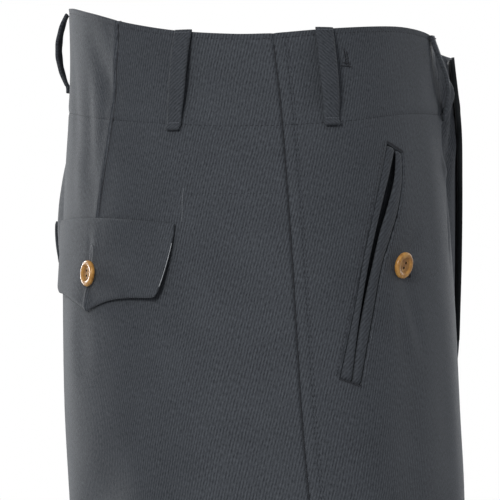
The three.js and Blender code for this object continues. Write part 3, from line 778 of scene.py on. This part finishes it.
def cut_window(bm):
    """Cuts the pocket's window in the flat front and eases its long edges into their curves."""
    middle = (POCKET_TOP + POCKET_FOOT) / 2
    rear, fore = WINDOW_REAR[-1][1], WINDOW_FORE[0][1]
    near = [f for f in bm.faces if (f.calc_center_median() - middle).length < WINDOW_NEAR]
    cuts = [
        (POCKET_TOP + FORWARDS * rear, FORWARDS),
        (POCKET_TOP + FORWARDS * fore, FORWARDS),
        (POCKET_TOP, POCKET_RUN),
        (POCKET_FOOT, POCKET_RUN),
    ]
    for place, direction in cuts:
        verts = {v for f in near for v in f.verts}
        edges = {e for f in near for e in f.edges}
        cut = bmesh.ops.bisect_plane(
            bm, geom=[*verts, *edges, *near], dist=1e-4, plane_co=place, plane_no=direction
        )
        near = [g for g in cut["geom"] if isinstance(g, bmesh.types.BMFace)]

    def share(co):
        return (POCKET_TOP - co).dot(POCKET_RUN) / (POCKET_TOP - POCKET_FOOT).length

    def forwards(co):
        return (co - POCKET_TOP).dot(FORWARDS)

    inside = [
        f
        for f in near
        if rear < forwards(f.calc_center_median()) < fore and 0 < share(f.calc_center_median()) < 1
    ]
    bmesh.ops.delete(bm, geom=inside, context="FACES")
    for vert in bm.verts:
        t, f = share(vert.co), forwards(vert.co)
        for edge, curve, sign in ((rear, WINDOW_REAR, -1), (fore, WINDOW_FORE, 1)):
            past = (f - edge) * sign
            if -WINDOW_FADE < t < 1 + WINDOW_FADE and -1e-3 < past < WINDOW_PULL:
                ease = (1 - max(past, 0) / WINDOW_PULL) ** 1.3
                ends = float(smooth(-WINDOW_FADE, 0, t) * (1 - smooth(1, 1 + WINDOW_FADE, t)))
                vert.co += FORWARDS * (float(through(curve, t)) - edge) * ease * ends


def make_panel(panel, side):
    lines = ACROSS[panel]
    bm = sheet_grid(len(lines) - 1, len(ROW_PARTS) - 1)
    across, down = shares_of(bm)
    share = np.interp(across, np.linspace(0, 1, len(lines)), lines)
    row = np.rint(down * (len(ROW_PARTS) - 1)).astype(int)
    z = row_height(panel, row, share)
    for _ in range(2):
        z = row_height(panel, row, follow_dart(panel, share, z))
    share = follow_dart(panel, share, z)
    start = centre_start(panel, side, z)
    along = start + (half_girth(panel, z) - SEAM_GAP / 2 - start) * share
    if panel == "front":
        for vert, distance, height in zip(bm.verts, half_girth(panel, z) - along, z):
            vert.co = (distance, height, 0)
        cut_window(bm)
        z = np.array([v.co.y for v in bm.verts])
        along = half_girth(panel, z) - np.array([v.co.x for v in bm.verts])
    places = on_cloth(panel, side, along, z)
    # Both sides meet at the centre plane above the crotch.
    centre = (along > 0) & ((along < SEAM_GAP) | (np.abs(places[:, 0]) < SEAM_GAP / 2)) & (z > CROTCH_Z - 1)
    places[centre, 0] = (-1 if side == "right" else 1) * SEAM_GAP / 2
    set_places(bm, places, flat_place(panel, side, half_girth(panel, z) - along, z))
    turn_by_outward(bm, panel, side, along, z)
    piece = finish_piece(bm, f"{panel}_{side}_cloth", whipcord, [f"{panel}_{side}"])
    cloth_wall(piece, CLOTH)


def turn_by_outward(bm, panel, side, along, z):
    """Turns the faces so that they agree with the cloth's outward direction."""
    bm.normal_update()
    bm.faces.ensure_lookup_table()
    bm.verts.index_update()
    probe = bm.faces[len(bm.faces) // 2]
    i = probe.verts[0].index
    out = Vector(outward(panel, side, np.array(along)[i], np.array(z)[i]))
    if probe.normal.dot(out) < 0:
        bmesh.ops.reverse_faces(bm, faces=bm.faces)


for side in ("right", "left"):
    for panel in ("back", "front"):
        make_panel(panel, side)

# Laid pieces


def laid_sheet(name, panel, side, grid, place, out, thickness, material, replaced):
    """A sheet laid on a panel. place(down, across) gives "along" and z, out(down, across) how
    far its outer face stands off the panel. grid is its columns and rows."""
    bm = sheet_grid(*grid)
    across, down = shares_of(bm)
    along, z = place(down, across)
    places = on_cloth(panel, side, along, z, out(down, across), seams=False)
    set_places(bm, places, flat_place(panel, side, half_girth(panel, z) - along, z))
    turn_by_outward(bm, panel, side, along, z)
    piece = finish_piece(bm, name, material, replaced)
    cloth_wall(piece, thickness)


# Welts: each a folded strip with a rolled lip, tucked under the window's edge
WELT_TUCK = 6.5
WELT_WALL = 1.0
WELT_PROFILE = [
    (0, -1.3), (0.07, -0.4), (0.18, 0.25), (0.4, 0.5), (0.65, 0.35), (0.85, -0.15), (0.93, -0.9),
    (1.0, -2.1), (1.2, -2.5), (2, -2.6),
]
WELT_ENDS = 0.022
WELT_SHOWN = 0.7
WELT_SUNK = -2.5
BEARER_WIDTH, BEARER_SHIFT = 30, 2
BEARER_ENDS = 0.05
BEARER_OUT, BEARER_SLACK = -4.3, -4.5
BEARER_WALL = 0.9


def make_pocket(side):
    def forwards_of(lip, edge, sign, t, across):
        inner, outer = through(lip, t), through(edge, t)
        visible = np.minimum(across / WELT_SHOWN, 1)
        tucked = np.maximum(across - WELT_SHOWN, 0) / (1 - WELT_SHOWN)
        return inner + (outer - inner) * visible + sign * WELT_TUCK * tucked, visible + tucked

    welts = [("rear", LIP_REAR, WINDOW_REAR, -1), ("fore", LIP_FORE, WINDOW_FORE, 1)]
    for name, lip, edge, sign in welts:

        def place(down, across, lip=lip, edge=edge, sign=sign):
            t = down * (1 + 2 * WELT_ENDS) - WELT_ENDS
            forwards, _ = forwards_of(lip, edge, sign, t, across)
            distance, z = pocket_place(t, forwards)
            return from_side("front", distance, z), z

        def out(down, across, lip=lip, edge=edge, sign=sign):
            t = down * (1 + 2 * WELT_ENDS) - WELT_ENDS
            _, reach = forwards_of(lip, edge, sign, t, across)
            height = through(WELT_PROFILE, reach)
            past_end = np.maximum(-t, t - 1) / WELT_ENDS
            sunk = smooth(-0.45, 0.05, past_end)
            return height + (np.minimum(height, WELT_SUNK) - height) * sunk

        laid_sheet(
            f"pocket_welt_{name}_{side}_cloth", "front", side, (22, 110), place, out, WELT_WALL,
            whipcord_cross, [f"pocket_welt_{name}_{side}"],
        )

    def bearer_place(down, across):
        t = down * (1 + 2 * BEARER_ENDS) - BEARER_ENDS
        distance, z = pocket_place(t, (across - 0.5) * BEARER_WIDTH + BEARER_SHIFT)
        return from_side("front", distance, z), z

    def bearer_out(down, across):
        slack = np.sin(math.pi * across) * np.sin(math.pi * down) ** 0.5
        return BEARER_OUT + BEARER_SLACK * slack

    laid_sheet(
        f"pocket_bearer_{side}_cloth", "front", side, (10, 34), bearer_place, bearer_out,
        BEARER_WALL, whipcord, [f"pocket_bearer_{side}"],
    )


for side in ("right", "left"):
    make_pocket(side)

# Hip pocket flap
FLAP_FROM_SIDE = 142
FLAP_TOP_Z = -75
FLAP_HALF_TOP = 77
FLAP_SLANT = 12
FLAP_CORNER_DROP = 44.6
FLAP_POINT_DROP = 9.2
FLAP_WALL = 1.4
FLAP_BUTTON_DROP = 31.8
FLAP_FRONT_TRIM = 2.2
FLAP_TOP_BOW, FLAP_TOP_FALL = 0.8, 3.0
FLAP_ROLL = -0.9
FLAP_WAVE = 0.35
# How the button holds the flap down: depth, width and height
FLAP_HELD = (0.8, 7, 11)
# Creases above the button and down to the point: height, place across at a drop, lean for each
# millimetre below that drop, width, and the drops between which each one starts and fades
CREASE_COLUMNS = ("height", "across", "drop", "lean", "width", "start", "fade")
FLAP_CREASES = [
    (0.28, 6, 20, -0.12, 4.5, (2, 9), (12, 20)),
    (-0.35, 0, 20, 0, 3.4, (8, 14), (15, 23)),
    (0.7, -4.5, 44, -0.3, 1.8, (38, 43), (90, 99)),
]


def flap_drop(u):
    edge = np.abs(u)
    corner = 2.2 * np.clip((edge - 0.94) / 0.06, 0, 1) ** 2.2
    from_point = np.clip(1 - np.abs(u + 0.075), 0, 1)
    return FLAP_CORNER_DROP + 1.2 * u + FLAP_POINT_DROP * from_point**2.8 - corner


def flap_place(down, across):
    u = across * 2 - 1
    drop = down * flap_drop(u)
    half = FLAP_HALF_TOP - FLAP_FRONT_TRIM * (u > 0) - FLAP_SLANT * (drop / FLAP_CORNER_DROP) ** 1.4
    hang = FLAP_TOP_BOW * np.cos(math.pi * u / 2) - FLAP_TOP_FALL * np.clip(u, 0, 1) ** 1.6
    z = FLAP_TOP_Z - drop + hang * (1 - down)
    return from_side("back", FLAP_FROM_SIDE, z) + u * half, z


def flap_out(down, across):
    u = across * 2 - 1
    drop = down * flap_drop(u)
    off = u * FLAP_HALF_TOP
    curl = np.where(u > 0, 4.2, 1.2)
    stand = LAY_GAP + 0.2 + down * (0.9 + curl * np.abs(u) ** np.where(u > 0, 3.4, 1.8)) + FLAP_WALL
    turned_top = 0.5 * smooth(0, 0.05, down) - 0.5
    depth, width, height = FLAP_HELD
    held = depth * bump(off, 0, width) * bump(drop, FLAP_BUTTON_DROP, height)
    creases = 0
    for row in FLAP_CREASES:
        crease = dict(zip(CREASE_COLUMNS, row))
        middle = crease["across"] + crease["lean"] * (drop - crease["drop"])
        reach = layer(drop, 1, crease["start"], crease["fade"])
        creases = creases + ridge(off, crease["height"], middle, crease["width"]) * reach
    wave = FLAP_WAVE * np.sin(off / 9.0 + drop / 14.0) * smooth(5, 30, drop)
    rolled = FLAP_ROLL * smooth(0.95, 1, down) ** 2
    return stand + turned_top - held + creases + wave + rolled


for side in ("right", "left"):
    laid_sheet(
        f"hip_flap_{side}_cloth", "back", side, (120, 48), flap_place, flap_out, FLAP_WALL,
        whipcord, [f"hip_flap_{side}"],
    )

# Belt loops: panel, from the side seam at top and foot, bow towards the front, length, how far
# they stand off and rise past the top edge, flare of the free end, and how low the bulge sags
LOOP_WIDTH = [(0, 10.7), (0.5, 10.0), (1, 8.9)]
LOOP_WALL = 1.8
LOOP_TACK = 0.935
LOOPS = {
    "front": ("front", 148, 165, 0, 51, 6.2, -0.4, 0.2, 1.5),
    "side_front": ("front", 29.4, 28.3, -0.7, 56.4, 4.2, 0.8, 1.5, 1.0),
    "side_back": ("back", 52.0, 64.5, -1.6, 57.9, 4.2, 0.8, 1.5, 1.0),
}
# The centre back's loop: how far below the top edge, length, and how far it stands off
CENTRE_LOOP = (2.8, 49, 6.3)
LOOP_FLAT = 57
CENTRE_TWIST = -0.22


def make_loop(name, place, replaced):
    """A folded strip, sewn down at its top and, with its end turned under, near its foot."""
    bm = sheet_grid(8, 56)
    across, down = shares_of(bm)
    u = across * 2 - 1
    edge = u / 2 * through(LOOP_WIDTH, down)
    rounded = -0.6 * np.abs(u) ** 5 + 0.12 * np.sin(down * 31) * u
    places = place(down, edge, rounded)
    set_places(bm, places, np.stack([edge, -down * LOOP_FLAT], axis=-1))
    bm.normal_update()
    bm.faces.ensure_lookup_table()
    probe = bm.faces[len(bm.faces) // 2]
    centre = probe.calc_center_median()
    if probe.normal.dot(Vector((centre.x, centre.y, 0))) < 0:
        bmesh.ops.reverse_faces(bm, faces=bm.faces)
    piece = finish_piece(bm, name, whipcord_cross, replaced)
    cloth_wall(piece, LOOP_WALL)


def loop_lift(t, stand, flare, sag=1.0):
    run = np.clip(t / LOOP_TACK, 0, 1) ** sag
    return LAY_GAP + LOOP_WALL + stand * np.sin(math.pi * run) ** 0.8 + flare * smooth(LOOP_TACK, 1, t)


def loop_line(name, side, t, across):
    """A place on a loop's middle line, and how far out the loop's outer face is there."""
    panel, start, foot, bow, length, stand, rise, flare, sag = LOOPS[name]
    top = float(top_z(panel, 1 - start / float(half_girth(panel, 30))))
    z = top + rise - length * t
    along = from_side(panel, start + (foot - start) * t + bow * np.sin(math.pi * t), z) + across
    return panel, along, z, loop_lift(t, stand, flare, sag)


for side in ("right", "left"):
    for name in LOOPS:

        def place(t, across, rounded, name=name, side=side):
            panel, along, z, out = loop_line(name, side, t, across)
            return on_cloth(panel, side, along, z, out + rounded, seams=False)

        node = f"belt_loop_{name}_{side}"
        make_loop(f"{node}_cloth", place, [node])


def centre_place(t, across, rounded):
    drop, length, stand = CENTRE_LOOP
    z = float(top_z("back", 0)) - drop - length * t
    # It hangs a little twisted.
    twist = CENTRE_TWIST * across * np.sin(math.pi * t)
    out = loop_lift(t, stand, 0) + rounded + twist
    point = on_cloth("back", "left", np.abs(across), z, out, seams=False)
    point[:, 0] *= np.where(across < 0, -1, 1)
    return point


make_loop("belt_loop_centre_back_cloth", centre_place, ["belt_loop_centre_back"])

# Fly facing, which wraps the left front's edge, and the guard behind it
FLY_TOP = TOP_EDGE["front"][0][1] - 1.5
FACING_WIDTH = 34
GUARD_WIDTH = 40
EDGE_WRAP = 0.08
FACING_PAST_EDGE = 1.2
FACING_OUT = -0.1
FACING_WALL = 0.8
GUARD_BELOW_LAP = 12


def facing_place(down, across):
    z = FLY_TOP + (FACING_FOOT_Z - FLY_TOP) * down
    start = centre_start("front", "left", z) - FACING_PAST_EDGE
    return start + FACING_WIDTH * np.maximum(across - EDGE_WRAP, 0) / (1 - EDGE_WRAP), z


def facing_out(down, across):
    behind = -CLOTH - LAY_GAP
    return FACING_OUT + (behind - FACING_OUT) * np.clip(across / EDGE_WRAP, 0, 1)


# The facing's near black colour is partly its lining's own dark tone and partly painted shade of the fly's
# turned edge.
laid_sheet(
    "fly_facing_cloth", "front", "left", (25, 60), facing_place, facing_out, FACING_WALL,
    dark_lining_painted_shade, ["fly_facing"],
)


def make_guard():
    bm = sheet_grid(12, 50)
    across, down = shares_of(bm)
    z = FLY_TOP + (FLY_LAP_Z[0] - GUARD_BELOW_LAP - FLY_TOP) * down
    along = SEAM_GAP / 2 + 0.15 + GUARD_WIDTH * across
    sink = (CLOTH + INSIDE_GAP) * smooth(0, 0.3, across)
    move = relief("front", "right", along, z) - sink
    places = plain_point("front", along, z) + outward("front", "left", along, z) * move[:, None]
    set_places(bm, places, np.stack([along, z], axis=-1))
    turn_by_outward(bm, "front", "left", along, z)
    piece = finish_piece(bm, "fly_guard_cloth", whipcord, ["fly_guard"])
    cloth_wall(piece, CLOTH)


make_guard()

# Buttons

BUTTON_RADIUS = 7.6
BUTTON_HEIGHT = 3.0
HOLE_RADIUS = 0.78
HOLE_SPACING = 3.1
RIM_FOOT = 0.3
BUTTON_PROFILE = [
    (0, 0), (0.78, 0), (0.93, 0.12), (0.99, 0.34), (1.0, 0.6), (0.98, 0.8), (0.93, 0.94), (0.85, 1.0),
    (0.72, 0.99), (0.64, 0.93), (0.58, 0.8), (0.53, 0.75), (0.45, 0.76), (0, 0.78),
]


# Each button: panel, from the side seam, height, how far out, and the degrees by which its face
# leans down and its holes are turned
BUTTONS = {
    "flap_button": ("back", FLAP_FROM_SIDE - 2.1, FLAP_TOP_Z - FLAP_BUTTON_DROP, 3.75, 3, 3),
    "front_button": ("front", 70.9, -101.6, 2.6, 22, -25),
}
# The thread between the holes: its height, its shortness at each end, half width, half thickness
THREAD_PLACE, THREAD_SHORT, THREAD_WIDTH, THREAD_DEPTH = 0.66 * BUTTON_HEIGHT, 0.3, 0.24, 0.18
SHANK_RADIUS, SHANK_LENGTH, SHANK_PLACE = 1.2, 0.8, -0.45


def make_button(node, side, panel, distance, z, out, tilt, turn):
    """A turned two-hole button with a broad raised rim and a dished middle."""
    if side == "left":
        turn = -turn
    bm = bmesh.new()
    profile = [bm.verts.new((r * BUTTON_RADIUS, 0, h * BUTTON_HEIGHT)) for r, h in BUTTON_PROFILE]
    edges = [bm.edges.new(pair) for pair in zip(profile, profile[1:])]
    bmesh.ops.spin(
        bm, geom=profile + edges, cent=(0, 0, 0), axis=(0, 0, 1), angle=2 * math.pi, steps=56, use_merge=True
    )
    bmesh.ops.remove_doubles(bm, verts=bm.verts, dist=1e-4)
    bmesh.ops.recalc_face_normals(bm, faces=bm.faces)
    layer = bm.loops.layers.uv.new("cloth")
    for face in bm.faces:
        for loop in face.loops:
            radius = math.hypot(loop.vert.co.x, loop.vert.co.y) / BUTTON_RADIUS
            loop[layer].uv = (radius if loop.vert.co.z > RIM_FOOT * BUTTON_HEIGHT else 1, loop.vert.co.z / 10)
    along = float(from_side(panel, distance, z))
    face = Vector(outward(panel, side, along, z))
    across = Vector((0, 0, 1)).cross(face).normalized()
    up = face.cross(across)
    foot = Vector(on_cloth(panel, side, np.array([along]), np.array([z]), out)[0])
    pose = Matrix.Translation(foot) @ Matrix((across, up, face)).transposed().to_4x4()
    pose = pose @ Matrix.Rotation(math.radians(tilt), 4, "X") @ Matrix.Rotation(math.radians(turn), 4, "Z")
    bmesh.ops.transform(bm, matrix=pose, verts=bm.verts)
    button = finish_piece(bm, f"{node}_{side}_nut", nut, [f"{node}_{side}"])
    drill(button, pose)
    thread_through(f"{node}_{side}_thread", pose)


def drill(button, pose):
    """Drills the two thread holes."""
    bm = bmesh.new()
    for sign in (-1, 1):
        place = Matrix.Translation((0, sign * HOLE_SPACING / 2, 0))
        bmesh.ops.create_cone(
            bm, cap_ends=True, segments=20, radius1=HOLE_RADIUS, radius2=HOLE_RADIUS,
            depth=BUTTON_HEIGHT * 4, matrix=pose @ place,
        )
    bmesh.ops.scale(bm, vec=(MM, MM, MM), verts=bm.verts)
    mesh = bpy.data.meshes.new("drill")
    bm.to_mesh(mesh)
    bm.free()
    cutter = bpy.data.objects.new("drill", mesh)
    bpy.context.scene.collection.objects.link(cutter)
    cut = button.modifiers.new("holes", "BOOLEAN")
    cut.operation = "DIFFERENCE"
    cut.solver = "EXACT"
    cut.object = cutter
    depsgraph = bpy.context.evaluated_depsgraph_get()
    drilled = bpy.data.meshes.new_from_object(button.evaluated_get(depsgraph))
    button.modifiers.clear()
    button.data = drilled
    bpy.data.objects.remove(cutter)


def thread_through(name, pose):
    """The thread that holds a button: sunk in its dish between the holes, and the shank."""
    bm = bmesh.new()
    place = Matrix.Translation((0, 0, THREAD_PLACE))
    size = Matrix.Diagonal((THREAD_WIDTH, HOLE_SPACING / 2 - THREAD_SHORT, THREAD_DEPTH, 1))
    bmesh.ops.create_icosphere(bm, subdivisions=2, radius=1, matrix=pose @ place @ size)
    shank = Matrix.Translation((0, 0, SHANK_PLACE))
    bmesh.ops.create_cone(
        bm, cap_ends=True, segments=12, radius1=SHANK_RADIUS, radius2=SHANK_RADIUS,
        depth=SHANK_LENGTH, matrix=pose @ shank,
    )
    finish_piece(bm, name, button_thread)


for side in ("right", "left"):
    for node, row in BUTTONS.items():
        make_button(node, side, *row)

# Sewing


# Stitches: pitch, length, width and height of each kind
STITCHES = {
    "side seam": (3.1, 1.8, 0.36, 0.22),
    "waistband": (3.0, 1.9, 0.42, 0.26),
    "pocket": (2.6, 1.7, 0.42, 0.26),
    "hem": (3.2, 1.9, 0.42, 0.26),
    "pocket bag": (3.3, 1.5, 0.36, 0.2),
    "pocket tack": (0.9, 0.8, 2.0, 0.35),
    "loop tack": (1.0, 0.95, 0.7, 0.35),
    "buttonhole": (0.62, 0.6, 1.1, 0.35),
    "darn_with_painted_shade": (2.4, 2.8, 0.8, 0.5),
}
STITCH_AIM = 0.5

# Shares of the way to the side seam at which rows start and end
BAND_ROW = {"front": (0.995, 0.16), "back": (0.995, 0.006)}
HEM_ROW = (0.995, 0.005)
HEM_DEPTH = 22.0

# The pocket's rows: window edge, and how far forwards of it. Its tacks: share of the pocket's
# length, and how far they reach past the window.
POCKET_ROWS = [(WINDOW_REAR, -2.3), (WINDOW_FORE, 1.6)]
POCKET_TACKS = [(-0.006, 0.6), (1.004, 0.4)]
LOOP_TACKS = (0.03, LOOP_TACK)

# A short darn in front of the side front loop, in dark thread that also paints a patch of shadow beside the
# loop, and the buttonholes, as (from side, z) ends
DARN_WITH_PAINTED_SHADE = [
    ((42, 22.5), (42.4, 12)), ((38.8, 12.4), (46.6, 11.8)),
    ((43.6, 21), (44, 12.6)), ((40, 14.2), (45.4, 13.6)),
]
BUTTONHOLES = {
    "flap_buttonhole": ("back", ((138.4, -90.5), (140, -100.5)), FLAP_WALL + 1.75, 2.6, pale_thread),
    "front_buttonhole": ("front", ((77.5, -104), (83, -108)), 0.1, 2.2, seam_thread),
}


def finish_sewing(bm, name, material):
    bm.loops.layers.uv.new("cloth")
    finish_piece(bm, name, material)


def sew(name, side, kind, rows, seams=False, material=seam_thread):
    """Sews rows of stitches as one piece, each stitch a small lozenge of thread half sunk in the
    cloth. A row is its panel, "along", z and how far out it lies."""
    pitch, length, width, height = STITCHES[kind]
    size = Matrix.Diagonal((length / 2, width / 2, height, 1))
    bm = bmesh.new()
    for panel, along, z, outs in rows:
        points = on_cloth(panel, side, along, z, outs, seams=seams)
        faces = outward(panel, side, along, z)
        run = np.concatenate([[0], np.cumsum(np.linalg.norm(np.diff(points, axis=0), axis=1))])

        def read(table, at):
            return Vector([np.interp(at, run, table[:, k]) for k in range(3)])

        for at in np.arange(pitch / 2, run[-1], pitch):
            middle = read(points, at)
            face = read(faces, at).normalized()
            forwards = (read(points, min(at + STITCH_AIM, run[-1])) - middle).normalized()
            across = face.cross(forwards).normalized()
            turn = Matrix((forwards, across, face)).transposed().to_4x4()
            bmesh.ops.create_icosphere(
                bm, subdivisions=1, radius=1, matrix=Matrix.Translation(middle) @ turn @ size
            )
    finish_sewing(bm, name, material)


def row_from_side(panel, distance, z, outs=0.0):
    return panel, from_side(panel, distance, z), z, outs


def row_by_share(panel, share, z):
    return panel, half_girth(panel, z) * share, z, 0.0


def straight_row(panel, ends, count, outs=0.0):
    """A row from one (from side, z) end to the other."""
    (a, za), (b, zb) = ends
    t = np.linspace(0, 1, count)
    return row_from_side(panel, a + (b - a) * t, za + (zb - za) * t, outs)


def sew_panel_rows(side):
    z = np.linspace(28, HEM_Z + 1, 600)
    rows = [row_from_side("front", distance, z) for distance in TOPSTITCH_FROM_SIDE]
    sew(f"side_seam_stitching_{side}", side, "side seam", rows, seams=True)

    rows = []
    for panel, (start, end) in BAND_ROW.items():
        share = np.linspace(start, end, 160)
        rows.append(row_by_share(panel, share, band_foot(panel, share)))
        rows.append(row_by_share(panel, share, top_z(panel, share) - EDGE_STITCH_DROP))
    sew(f"waistband_stitching_{side}", side, "waistband", rows, seams=True)

    t = np.linspace(-0.01, 1.01, 120)
    lines = [pocket_place(t, through(edge, t) + offset) for edge, offset in POCKET_ROWS]
    rows = [row_from_side("front", distance, z) for distance, z in lines]
    sew(f"pocket_stitching_{side}", side, "pocket", rows)

    share = np.linspace(*HEM_ROW, 160)
    z = np.full(share.shape, HEM_Z + HEM_DEPTH)
    rows = [row_by_share(panel, share, z) for panel in ("front", "back")]
    sew(f"hem_stitching_{side}", side, "hem", rows, seams=True)

    rows = [straight_row("back", ((start, z), (end, z)), 60, -0.05) for z, start, end in BAG_LINES]
    sew(f"hip_pocket_bag_stitching_{side}", side, "pocket bag", rows, seams=True)


def sew_tacks(side):
    """Bar tacks across the pocket's ends and the belt loops."""
    rows = []
    for t, ease in POCKET_TACKS:
        edges = (float(through(WINDOW_REAR, t)) - ease, float(through(WINDOW_FORE, t)) + ease)
        rows.append(straight_row("front", [pocket_place(t, f) for f in edges], 12))
    sew(f"pocket_tacks_{side}", side, "pocket tack", rows)

    rows = []
    for name in LOOPS:
        for t in LOOP_TACKS:
            half = float(through(LOOP_WIDTH, t)) / 2 - 0.4
            across = np.linspace(-half, half, 12)
            panel, along, z, out = loop_line(name, side, t, across)
            rows.append((panel, along, np.full(across.shape, z), out + 0.1))
    sew(f"belt_loop_tacks_{side}", side, "loop tack", rows, material=tack_thread)


def sew_buttonhole(name, side, panel, ends, out, width, material):
    """A worked buttonhole: a ring of close stitches round a slit."""
    (a, za), (b, zb) = ends
    turn = np.linspace(0, 2 * math.pi, 90)
    middle, half = ((a + b) / 2, (za + zb) / 2), ((b - a) / 2, (zb - za) / 2)
    length = math.hypot(*half)
    cross = (-half[1] / length, half[0] / length)
    ring = np.sign(np.cos(turn)) * np.abs(np.cos(turn)) ** 0.7
    distance, z = (middle[k] + half[k] * ring + cross[k] * width / 2 * np.sin(turn) for k in (0, 1))
    sew(f"{name}_{side}", side, "buttonhole", [row_from_side(panel, distance, z, out)], material=material)


def lay_thread(name, panel, side, places, outs, radius, material):
    """A strand of thread through (from side, z) places, as a thin tube."""
    places = np.array(places, float)
    t = np.linspace(0, len(places) - 1, 10 * len(places))
    distance, z, outs = (through(list(enumerate(values)), t) for values in (places[:, 0], places[:, 1], outs))
    points = on_cloth(panel, side, from_side(panel, distance, z), z, outs, seams=False)
    bm = bmesh.new()
    rings = []
    for i, point in enumerate(points):
        ahead = Vector(points[min(i + 1, len(points) - 1)] - points[max(i - 1, 0)]).normalized()
        turn = ahead.to_track_quat("Z", "Y").to_matrix().to_4x4()
        thin = radius * (THREAD_END if i in (0, len(points) - 1) else 1)
        ring = bmesh.ops.create_circle(
            bm, cap_ends=False, segments=6, radius=thin, matrix=Matrix.Translation(point) @ turn
        )["verts"]
        edges = list({e for v in ring for e in v.link_edges})
        if rings:
            bmesh.ops.bridge_loops(bm, edges=rings[-1] + edges)
        rings.append(edges)
    bmesh.ops.contextual_create(bm, geom=rings[0])
    bmesh.ops.contextual_create(bm, geom=rings[-1])
    bmesh.ops.recalc_face_normals(bm, faces=bm.faces)
    finish_sewing(bm, name, material)


# Dark threads laid in the creases of the side seam and the dart, as painted shade along the creases: heights,
# how many places, how far out and radius. THREAD_END is the share of its radius that a thread keeps at its
# ends.
THREAD_END = 0.35
SIDE_SEAM_SHADE_LINE = (24, HEM_Z + 1, 40, -0.3, 0.26)
DART_SHADE_LINE = (39, DART_FOOT_Z + 3, 12, -0.4, 0.32)
DART_SHADE_LINE_SHIFT = 0.1

# A loose thread that hangs above the flap, and a pale strand just inside the flap's free edge that paints the
# highlight along that edge
LOOSE_PLACES = [(60.3, -58), (61.4, -64), (62, -71), (62.8, -77)]
LOOSE_OUTS = [0.5, 1.0, 0.8, 0.6]
EDGE_HIGHLIGHT_DOWN = (0.28, 0.9)
EDGE_HIGHLIGHT_INSIDE = (0.25, 0.55)


def lay_threads(side):
    # A pale strand just inside the flap's free edge, as a painted highlight of the curled edge.
    down = np.linspace(*EDGE_HIGHLIGHT_DOWN, 7)
    edge = np.ones(down.shape)
    along, z = flap_place(down, edge)
    places = np.stack([half_girth("back", z) - along - EDGE_HIGHLIGHT_INSIDE[0], z], axis=-1)
    outs = flap_out(down, edge) - EDGE_HIGHLIGHT_INSIDE[1]
    lay_thread(f"flap_edge_painted_highlight_{side}", "back", side, places, outs, 0.2, edge_highlight_thread)

    # The darn's dark stitches are real stitching and also paint a patch of shadow beside the loop.
    rows = [straight_row("front", ends, 6, 0.15) for ends in DARN_WITH_PAINTED_SHADE]
    sew(f"darn_{side}", side, "darn_with_painted_shade", rows)

    # The side seam and dart lines are dark thread laid in their creases as painted shade.
    for name, panel, line, spec in (
        ("side_seam", "front", None, SIDE_SEAM_SHADE_LINE),
        ("dart", "back", DART, DART_SHADE_LINE),
    ):
        start, end, count, out, radius = spec
        heights = np.linspace(start, end, count)
        distance = through(line, heights) + DART_SHADE_LINE_SHIFT if line else np.zeros(count)
        places = np.stack([distance, heights], axis=-1)
        lay_thread(f"{name}_thread_{side}", panel, side, places, [out] * count, radius, seam_thread)
    lay_thread(f"loose_thread_{side}", "back", side, LOOSE_PLACES, LOOSE_OUTS, 0.12, pale_thread)


for side in ("right", "left"):
    lay_threads(side)
    sew_panel_rows(side)
    sew_tacks(side)
    for name, row in BUTTONHOLES.items():
        sew_buttonhole(name, side, *row)

# Floor and light


FLOOR_RADIUS, FLOOR_DEPTH, FLOOR_MIDDLE_Z = 0.75, 0.03, -1.038

# Lights: place, width and height, and watts. Each faces the middle of the garment.
LIGHT_TARGET = (0, 0, -0.25)
LIGHTS = {
    "key_softbox": ((-2.7, 0.9, 0.9), (0.6, 0.8), 38.5),
    "back_edge_softbox": ((2.2, 1.7, 0.3), (0.5, 1.6), 60),
    "front_edge_softbox": ((1.7, -2.3, 0.4), (0.5, 1.6), 14),
    "fly_edge_softbox": ((2.65, -0.8, 0.4), (0.5, 1.6), 38),
}
STUDIO_STRENGTH = (0.34, 0.32)


def make_floor():
    """A plain pale round stand, just below the hems."""
    bm = bmesh.new()
    bmesh.ops.create_cone(
        bm, cap_ends=True, segments=128, radius1=FLOOR_RADIUS, radius2=FLOOR_RADIUS, depth=FLOOR_DEPTH
    )
    bmesh.ops.translate(bm, verts=bm.verts, vec=(0, 0, FLOOR_MIDDLE_Z))
    mesh = bpy.data.meshes.new("floor")
    bm.to_mesh(mesh)
    bm.free()
    material, _, shader = new_material("pale_floor")
    set_inputs(shader, {"Base Color": linear("#eeeeec"), "Roughness": 0.8})
    mesh.materials.append(material)
    floor = bpy.data.objects.new("floor", mesh)
    bpy.context.scene.collection.objects.link(floor)


def make_light(name, place, size, watts):
    data = bpy.data.lights.new(name, "AREA")
    data.energy = watts
    data.shape = "RECTANGLE"
    data.size, data.size_y = size
    light = bpy.data.objects.new(name, data)
    light.location = place
    direction = Vector(LIGHT_TARGET) - Vector(place)
    light.rotation_euler = direction.to_track_quat("-Z", "Y").to_euler()
    bpy.context.scene.collection.objects.link(light)


def make_studio():
    """A white studio: pure white behind, and a softer, nearly even light all round."""
    world = bpy.data.worlds.new("studio")
    bpy.context.scene.world = world
    world.use_nodes = True
    tree = world.node_tree
    tree.nodes.clear()
    place = add_node(tree, "TexCoord", output="Generated")
    rearwards = add_node(tree, "SeparateXYZ", {"Vector": place}, "Y")
    strength = ranged(tree, rearwards, -1.0, 1.0, *STUDIO_STRENGTH)
    around = add_node(tree, "Background", {"Color": linear("#f6f8ff"), "Strength": strength})
    behind = add_node(tree, "Background", {"Color": (1, 1, 1, 1), "Strength": 1.0})
    seen = add_node(tree, "LightPath", output="Is Camera Ray")
    light = add_node(tree, "MixShader", {"Fac": seen, 1: around, 2: behind})
    set_inputs(tree.nodes.new("ShaderNodeOutputWorld"), {"Surface": light})


make_floor()
for name, (place, size, watts) in LIGHTS.items():
    make_light(name, place, size, watts)
make_studio()

view = bpy.context.scene.view_settings
view.view_transform = "Standard"
view.look = "None"
view.exposure = 0
view.gamma = 1
